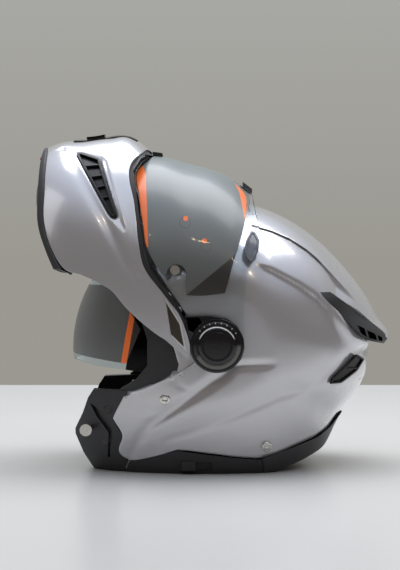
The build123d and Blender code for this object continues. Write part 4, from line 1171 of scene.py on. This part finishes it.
# %% Film
FILM_POINTS, FILM_WALL = 190, 0.0002
film_low = glass.trace(
    FILM_POINTS,
    [
        (-0.269, 0.346), (-0.350, 0.452), (-0.419, 0.552), (-0.472, 0.656), (-0.498, 0.802), (-0.531, 1.015),
        (-0.550, 1.190), (-0.490, 1.265), (-0.430, 1.325),
    ],
)
film_top = glass.trace(
    FILM_POINTS,
    [
        (0.054, 0.352), (0.127, 0.614), (0.175, 0.761), (0.200, 0.870), (0.210, 0.956), (0.190, 1.058),
        (0.141, 1.110), (0.135, 1.17),
    ],
)
angles = to_rim(film_low, -1), to_rim(film_top, -1)
base = glass.trace(80, [(-0.269, 0.346), (0.054, 0.352)])
film_grid = mirror_join(glass.lift(coons(film_low, film_top, base, rim(80, *angles)), 0.0003), 0)
film_obj = panel("visor_film_skin", film_grid, FILM_WALL, soft=0.00005)
dress(film_obj, FILM, "face_visor", "visor_film", "visor_film")
print("film:", film_grid.shape)

# %% [markdown]
# A smoky tab sits at the rear edge of the visor on each side: a small plate in a frame.

# %% Edge tabs
TAB_OUTLINE = [
    (0.183, 0.630), (0.199, 0.705), (0.232, 0.768), (0.262, 0.762), (0.290, 0.705), (0.280, 0.630),
    (0.240, 0.562), (0.215, 0.562),
]
tab_edge = ring_bar(glass, TAB_OUTLINE, 0.0022, 0.0016, -0.0010, 90)
tab_top = plate(glass, TAB_OUTLINE, 0.0008, 0.0010, -0.0008, 90)
tab_parts = [(tab_edge, True, True), (tab_top, True, False)]
tab_parts += [(mirrored(tab_edge), True, True), (mirrored(tab_top), True, False)]
dress(crisp(welded("visor_edge_tabs", *tab_parts), 45), TAB, "face_visor", "clear_visor")
print("points in a tab's frame:", tab_edge.shape)

# %% [markdown]
# ## Pivot caps and arm covers
#
# Each cap is turned: a flat rim, a groove, a raised ring and a shallow knob. The profile
# gives the radius and the distance from the middle plane.

# %% Pivot caps
CAP_PROFILE = [
    (0.0, 0.1198), (0.0228, 0.1198), (0.0228, 0.1214), (0.0224, 0.1219), (0.0212, 0.1221),
    (0.0208, 0.1215), (0.0203, 0.1215), (0.0199, 0.1222), (0.0193, 0.1226), (0.0170, 0.1231),
    (0.0166, 0.1227), (0.0161, 0.1227), (0.0157, 0.1239), (0.0150, 0.1247), (0.0136, 0.1252),
    (0.0128, 0.1252), (0.0124, 0.1247), (0.0118, 0.1247), (0.0113, 0.1252), (0.0060, 0.1254),
    (0.0, 0.1254),
]
for side, end in ((-1, "left"), (1, "right")):
    cap_grid = turned((PIVOT_X, 0, PIVOT_Z), (0, side, 0), CAP_PROFILE, 96)
    cap_obj = crisp(welded(f"pivot_cap_skin_{end}", (cap_grid, False, True)), 30)
    dress(cap_obj, CAP, "chin_bar", "gloss_black", f"pivot_cap_{end}")
print("caps reach", CAP_PROFILE[-1][1], "from the middle plane")

# %% [markdown]
# The black cover round each cap is a flat plate with softened edges. Its outline runs from
# its upper front corner over the cap, round behind and below it, and back up along the
# white cover. Layers of it, each a little smaller or further out, make the softened edge.

# %% Arm covers
ARM_POINTS = 160
ARM_OUTLINE = [
    (-0.221, 0.201), (-0.050, 0.205), (0.060, 0.188), (0.135, 0.135), (0.180, 0.050), (0.186, -0.020),
    (0.165, -0.090), (0.100, -0.158), (0.000, -0.186), (-0.090, -0.165), (-0.150, -0.100), (-0.172, -0.060),
    (-0.212, 0.146),
]
ARM_LAYERS = [
    (0.012, 0.1197), (0.0008, 0.1197), (0.0002, 0.1194), (0.0, 0.1190), (0.0, 0.1182), (0.012, 0.1182),
]
arm_path = closed_path(ARM_OUTLINE, ARM_POINTS, soften=4)
layers = []
for inwards, y in ARM_LAYERS:
    u, v = inset_path(arm_path, inwards).T
    layers.append(np.stack([PIVOT_X + u * CROWN, np.full(ARM_POINTS, y), PIVOT_Z + v * CROWN], -1))
middles = [np.repeat(layers[i].mean(0, keepdims=True), ARM_POINTS, 0) for i in (0, -1)]
arm_grid = np.stack([middles[0], *layers, middles[1]], 1)
for grid, end in ((arm_grid, "right"), (mirrored(arm_grid), "left")):
    arm_obj = crisp(welded(f"arm_cover_skin_{end}", (grid, True, False)), 40)
    dress(arm_obj, GLOSS_BLACK, "chin_bar", "gloss_black", f"arm_cover_{end}")
print("arm covers:", arm_grid.shape)

# %% [markdown]
# ## Pads and lining
#
# A pad is two layers over one patch. They meet at the patch's rim, swell to the pad's
# thickness a little way in, and channels draw the inner layer in. The patch follows the
# helmet's form, so a pad lies on the foam behind it without cutting into it.

# %% From patches to pads
LINER_IN, LINER_THICK, PAD_THICK = 0.0301, 0.008, 0.020
LINER_LEVEL, PAD_LEVEL = -0.034, -0.040  # how far out of the shell's form the outlines are drawn
OUTER_ROUND, CHANNEL_WIDTH = 0.004, 0.0030


def rim_distance(points, rims):
    """Distance in metres from each point to the nearest point of the rims."""
    edge = np.concatenate(rims)
    best = np.full(points.shape[:-1], 9.0)
    for start in range(0, len(edge), 40):
        part = edge[start : start + 40]
        best = np.minimum(best, np.linalg.norm(points[..., None, :] - part, axis=-1).min(-1))
    return best


def quarter_round(distance, radius):
    """Rises like a quarter circle from 0 at the rim to 1 a radius in: sqrt(1 - (1 - d / r) ** 2)."""
    return np.sqrt(1 - (1 - np.clip(distance / radius, 0, 1)) ** 2)


def cushion(form, chart, inset, thick, rims, groove=None, depth=0.003):
    """The outer and inner layer of a pad. Each is half the thickness times a quarter round from the
    middle of the pad, wider on the inner side, and the groove's channels draw the inner one in."""
    middle = -(inset + thick / 2)
    flat = form.lift(chart, middle)
    d = rim_distance(flat, [flat[part] for part in rims])
    outwards = thick / 2 * quarter_round(d, OUTER_ROUND)
    inwards = thick / 2 * quarter_round(d, thick * 0.9)
    inwards *= 0.90 + 0.10 * np.clip(d / 0.03, 0, 1)
    if groove is not None:
        inwards -= depth * hollow(groove(flat), CHANNEL_WIDTH) * np.clip(d / 0.006, 0, 1)
    return form.lift(chart, middle + outwards), form.lift(chart, middle - inwards)


def pad(name, layers, body, node):
    """A pad from its two layers, in fabric."""
    obj = welded(name, *[(layer, False, False) for layer in layers])
    dress(obj, FABRIC, body, "lining", node)


def on_rim(angle, out):
    """The side view share where the shell's form, moved by out, meets the middle plane at an angle."""
    r = (float(shell.radius(np.array(float(angle)))) + out) / CROWN
    return r * math.cos(math.radians(angle)), r * math.sin(math.radians(angle))


print("pads are", PAD_THICK, "thick and the liner is", LINER_THICK)

# %% [markdown]
# The comfort liner covers the inside of the crown from the brow to the nape. Its channels
# run from front to back, where the sewn panels of such a liner meet.

# %% Comfort liner
LINER_POINTS, LINER_WIDE = 150, 60
CHANNELS = (0.014, 0.040)
lower = shell.trace(
    LINER_POINTS,
    [
        on_rim(139, LINER_LEVEL), (-0.50, 0.40), (-0.30, 0.10), (0.05, 0.02), (0.30, -0.10), (0.62, -0.18),
        on_rim(-12, LINER_LEVEL),
    ],
    out=LINER_LEVEL,
)
angles = to_rim(lower, 0), to_rim(lower, -1)
liner_brow, liner_nape = np.repeat(lower[:1], LINER_WIDE, 0), np.repeat(lower[-1:], LINER_WIDE, 0)
liner_chart = coons(lower, rim(LINER_POINTS, *angles), liner_brow, liner_nape)


def to_channels(points):
    """Distance across the helmet to the nearest sewn channel."""
    return np.min([np.abs(np.abs(points[..., 1]) - y) for y in CHANNELS], 0)


liner = cushion(shell, liner_chart, LINER_IN, LINER_THICK, [np.s_[:, 0]], to_channels)
liner = [mirror_join(layer, 1) for layer in liner]
pad("comfort_liner_soft", liner, "helmet_shell", "comfort_liner")
print("liner:", liner[0].shape)

# %% [markdown]
# A cheek pad fills the jaw on each side, with one sewn channel down its middle.

# %% Cheek pads
CHEEK_CHANNEL = [(-0.24, -0.08), (-0.20, -0.34), (-0.26, -0.60)]
CHEEK_FRONT = [(-0.55, -0.625), (-0.50, -0.40), (-0.33, -0.22), (-0.27, -0.06)]
CHEEK_REAR = [(0.085, -0.655), (0.125, -0.40), (0.10, -0.20), (0.055, -0.065)]
CHEEK_LOW = [(-0.55, -0.625), (-0.20, -0.64), (0.085, -0.655)]
CHEEK_TOP = [(-0.27, -0.06), (-0.14, 0.01), (0.055, -0.065)]
fronts = [shell.trace(90, line, out=PAD_LEVEL) for line in (CHEEK_FRONT, CHEEK_REAR)]
ends = [shell.trace(70, line, out=PAD_LEVEL) for line in (CHEEK_LOW, CHEEK_TOP)]
cheek_chart = coons(*fronts, *ends)


def to_cheek_channel(points):
    """Distance in the side view to the cheek pad's sewn channel."""
    return line_distance(to_shares(points), CHEEK_CHANNEL)


all_rims = [np.s_[0, :], np.s_[-1, :], np.s_[:, 0], np.s_[:, -1]]
cheek_pad = cushion(shell, cheek_chart, LINER_IN, PAD_THICK, all_rims, to_cheek_channel, 0.0035)
pad("cheek_pad_soft_right", cheek_pad, "helmet_shell", "cheek_pad_right")
pad("cheek_pad_soft_left", [mirrored(layer) for layer in cheek_pad], "helmet_shell", "cheek_pad_left")
print("cheek pads:", cheek_pad[0].shape)

# %% [markdown]
# The neck roll closes the helmet behind the neck. It is one pad from side to side, so its
# patch ends in the middle plane and only its other three sides are rounded.

# %% Neck roll
NECK_WIDE = 50
neck_low = shell.trace(90, [(0.27, -0.665), (0.45, -0.61), on_rim(-42, PAD_LEVEL)], out=PAD_LEVEL)
neck_top = shell.trace(90, [(0.36, -0.305), (0.62, -0.215), on_rim(-15.5, PAD_LEVEL)], out=PAD_LEVEL)
angles = to_rim(neck_low, -1), to_rim(neck_top, -1)
neck_start = neck_low[0] + (neck_top[0] - neck_low[0]) * np.linspace(0, 1, NECK_WIDE)[:, None]
neck_chart = coons(neck_low, neck_top, neck_start, rim(NECK_WIDE, *angles))
three_rims = [np.s_[0, :], np.s_[:, 0], np.s_[:, -1]]
neck_roll = cushion(shell, neck_chart, LINER_IN, PAD_THICK, three_rims)
neck_roll = [mirror_join(layer, 0) for layer in neck_roll]
pad("neck_roll_soft", neck_roll, "helmet_shell", "neck_roll")
print("neck roll:", neck_roll[0].shape)

# %% [markdown]
# The chin padding lines the chin bar. Its patch is drawn straight in the chart, between
# angles that close in a little towards the side.

# %% Chin padding
CHIN_IN, CHIN_THICK = 0.0133, 0.011
s, t = np.linspace(0, 1, 70)[:, None], np.linspace(0, 1, 50)[None]
turn = np.radians((122 - 6 * s) * (1 - t) + (149 - 17 * s) * t)
rho = 0.665 + 0.335 * s + 0 * t
chin_chart = np.stack([rho * np.cos(turn), rho * np.sin(turn)], -1)
chin_pad = cushion(cover, chin_chart, CHIN_IN, CHIN_THICK, three_rims)
chin_pad = [mirror_join(layer, 0) for layer in chin_pad]
pad("chin_padding_soft", chin_pad, "chin_bar", "chin_padding")
print("chin padding:", chin_pad[0].shape)

# %% [markdown]
# ## Chin straps
#
# A strap is a flat band of webbing: a rounded section carried along a smooth curve that
# hangs from the shell to the buckle.

# %% Straps
STRAP_LINE = [(-0.690, 0.189), (-0.620, 0.150), (-0.420, 0.096), (-0.150, 0.080), (-0.100, 0.080)]
STRAP_X, STRAP_HALF, STRAP_THIN = 0.035, 0.010, 0.0009
STRAP_FROM = -0.0858  # where a strap leaves the shell
STRAP_STEPS, STRAP_SECTION = 70, 32


def strap(name, side, last):
    """A band of webbing along the strap's line, from the shell to a distance from the middle plane."""
    line = np.array(STRAP_LINE) * CROWN
    y = np.linspace(STRAP_FROM, last, STRAP_STEPS)
    z = smooth(y, line[:, 0], line[:, 1])
    slope = np.gradient(z, y)
    normal = np.stack([np.zeros(STRAP_STEPS), -slope, np.ones(STRAP_STEPS)], -1)
    normal /= np.hypot(1, slope)[:, None]
    a = np.linspace(0, 2 * np.pi, STRAP_SECTION, endpoint=False)
    across = STRAP_HALF * np.sign(np.cos(a)) * np.abs(np.cos(a)) ** 0.25
    up = STRAP_THIN * np.sign(np.sin(a)) * np.abs(np.sin(a)) ** 0.6
    path = np.stack([np.full(STRAP_STEPS, STRAP_X), y, z], -1)
    grid = path[:, None] + across[:, None] * np.array([1.0, 0, 0]) + up[:, None] * normal[:, None]
    ends = [np.repeat(path[i : i + 1, None], STRAP_SECTION, 1) for i in (0, -1)]
    grid = np.concatenate([ends[0], grid, ends[1]], 0) * np.array([1, side, 1])
    return crisp(welded(name, (grid, False, True)), 50)


for end, side, last in (("left", 1, -0.0127), ("right", -1, -0.0192)):
    dress(strap(f"strap_webbing_{end}", side, last), WEBBING, "helmet_shell", "webbing", f"strap_{end}")
print("straps span", -2 * STRAP_FROM)

# %% [markdown]
# ## CAD pieces that stay
#
# The small hard pieces keep their CAD meshes. Their loose triangles are welded, and edges
# sharper than about thirty degrees stay crisp.

# %% Finish the CAD pieces
WELD_WITHIN = 0.00002
KEPT = {
    MATTE_BLACK: [
        "jaw_frame_left", "jaw_frame_right", "port_frame", "edge_trim", "rear_trim", "pivot_base_left",
        "pivot_base_right", "rear_upper_vent_left", "rear_upper_vent_right", "chin_frame",
        "sun_visor_slider", "buckle_receiver", "visor_lower_tab",
    ],
    GLOSS_BLACK: ["chin_vent_plate", "chin_vent_slider"],
    STEEL: ["latch_strikers", "visor_lens_pins", "buckle_tongue"],
    DARK_STEEL: ["jaw_screws", "latch_hook_left", "latch_hook_right", "sun_visor_pins"],
    RED: ["release_button", "buckle_lever"],
    BADGE: ["arm_badge_left", "arm_badge_right"],
    FOAM: ["impact_liner"],
    TAB: ["visor_top_tab"],
    SUN_CLEAR: ["sun_visor"],
    SUN_FILM: ["sun_visor_film"],
}
for material, names in KEPT.items():
    for name in names:
        node = nodes[name]
        node.data.materials.clear()
        node.data.materials.append(material)
        node.data.shade_smooth()
        weld = node.modifiers.new("weld", "WELD")
        weld.merge_threshold = WELD_WITHIN
        crisp(node, 32)
print(sum(len(names) for names in KEPT.values()), "CAD pieces finished")

# %% [markdown]
# ## Floor, light and camera
#
# The helmet stands on a pale floor whose far edge meets the wall. The floor is a stage
# piece, so it doesn't travel with the part.

# %% Floor
FLOOR_BACK, FLOOR_REACH = 0.93, 4.0
corners = np.array(
    [
        [-FLOOR_REACH, -FLOOR_REACH, 0], [FLOOR_REACH, -FLOOR_REACH, 0],
        [FLOOR_REACH, FLOOR_BACK, 0], [-FLOOR_REACH, FLOOR_BACK, 0],
    ]
)
floor = mesh_object("floor", corners, [[0, 1, 2, 3]])
pale_table = plain("pale table", (0.64, 0.63, 0.60), (0.68, 0.67, 0.64), 0.24, grain=3.0, spread=0.04)
floor.data.materials.append(pale_table)
print("the floor ends", FLOOR_BACK, "behind the helmet")

# %% [markdown]
# The world does what a photographer's room does for shiny paint. The camera sees a plain
# wall. Reflections see a dim warm room in front, the wall behind and a bright ceiling.

# %% World
ROOM, CEILING = (0.100, 0.070, 0.046, 1), (1.00, 1.10, 1.32, 1)
WALL_LOW, WALL_HIGH = (0.325, 0.315, 0.285, 1), (0.395, 0.395, 0.375, 1)
world = bpy.data.worlds.new("studio")
bpy.context.scene.world = world
world.use_nodes = True
sky = world.node_tree
background = sky.nodes["Background"]
background.inputs["Strength"].default_value = 1.0
coord = sky.nodes.new("ShaderNodeTexCoord")
parts = sky.nodes.new("ShaderNodeSeparateXYZ")
sky.links.new(coord.outputs["Generated"], parts.inputs[0])
away, rise = Value(sky, parts.outputs[1]), Value(sky, parts.outputs[2])


def sky_mix(factor, first, second):
    """A colour between two colours or sockets of the world."""
    node = sky.nodes.new("ShaderNodeMix")
    node.data_type = "RGBA"
    for place, item in ((0, factor), (6, first), (7, second)):
        if isinstance(item, Value):
            sky.links.new(item.socket, node.inputs[place])
        else:
            node.inputs[place].default_value = item
    return Value(sky, node.outputs[2])


overhead = (rise * 2.4 - 1.1).high(0.0).low(1.0)
behind = (away * 2.5).high(0.0).low(1.0)
wall = sky_mix((rise * 6.0).high(0.0).low(1.0), WALL_LOW, WALL_HIGH)
reflected = sky_mix(overhead, sky_mix(behind, ROOM, wall), CEILING)
seen = Value(sky, sky.nodes.new("ShaderNodeLightPath").outputs["Is Camera Ray"])
sky.links.new(sky_mix(seen, reflected, wall).socket, background.inputs["Color"])
print("nodes of the world:", len(sky.nodes))

# %% [markdown]
# One large light overhead models the shell softly. A weak one from the front left opens the
# shadows, and three small warm lamps leave the bright dots on the crown.

# %% Lights
def light(name, place, aim, size, power, colour):
    """A soft rectangular light at a place, aimed at a point."""
    data = bpy.data.lights.new(name, "AREA")
    data.shape = "RECTANGLE"
    data.size, data.size_y = size
    data.energy, data.color = power, colour
    obj = bpy.data.objects.new(name, data)
    bpy.context.scene.collection.objects.link(obj)
    obj.location = place
    towards = mathutils.Vector(aim) - mathutils.Vector(place)
    obj.rotation_euler = towards.to_track_quat("-Z", "Y").to_euler()


light("ceiling", (0.1, 0.35, 1.5), (0, 0, 0.15), (1.7, 1.1), 24, (0.97, 0.98, 1.0))
light("left_front", (-1.3, -0.3, 0.9), (0, 0, 0.2), (0.5, 0.6), 0.9, (0.95, 0.97, 1.0))
for x, z in ((-0.55, 1.25), (0.15, 1.35), (0.55, 1.15)):
    light(f"lamp_{x}", (x, -1.15, z), (0, 0, 0.12), (0.035, 0.035), 0.35, (1.0, 0.80, 0.50))
print(len(bpy.data.lights), "lights")

# %% [markdown]
# The camera looks at the left side from one and a half metres, almost level, as the
# photograph does.

# %% Camera
camera_data = bpy.data.cameras.new("camera")
camera_data.sensor_fit = "VERTICAL"
camera_data.sensor_height = 36
camera_data.lens = 104.1
camera = bpy.data.objects.new("camera", camera_data)
bpy.context.scene.collection.objects.link(camera)
camera.location = (-0.0151, -1.5, 0.1815)
camera.rotation_euler = (math.radians(89.2), 0, 0)
bpy.context.scene.camera = camera
bpy.context.scene.view_settings.view_transform = "Standard"
print("camera at", tuple(camera.location))
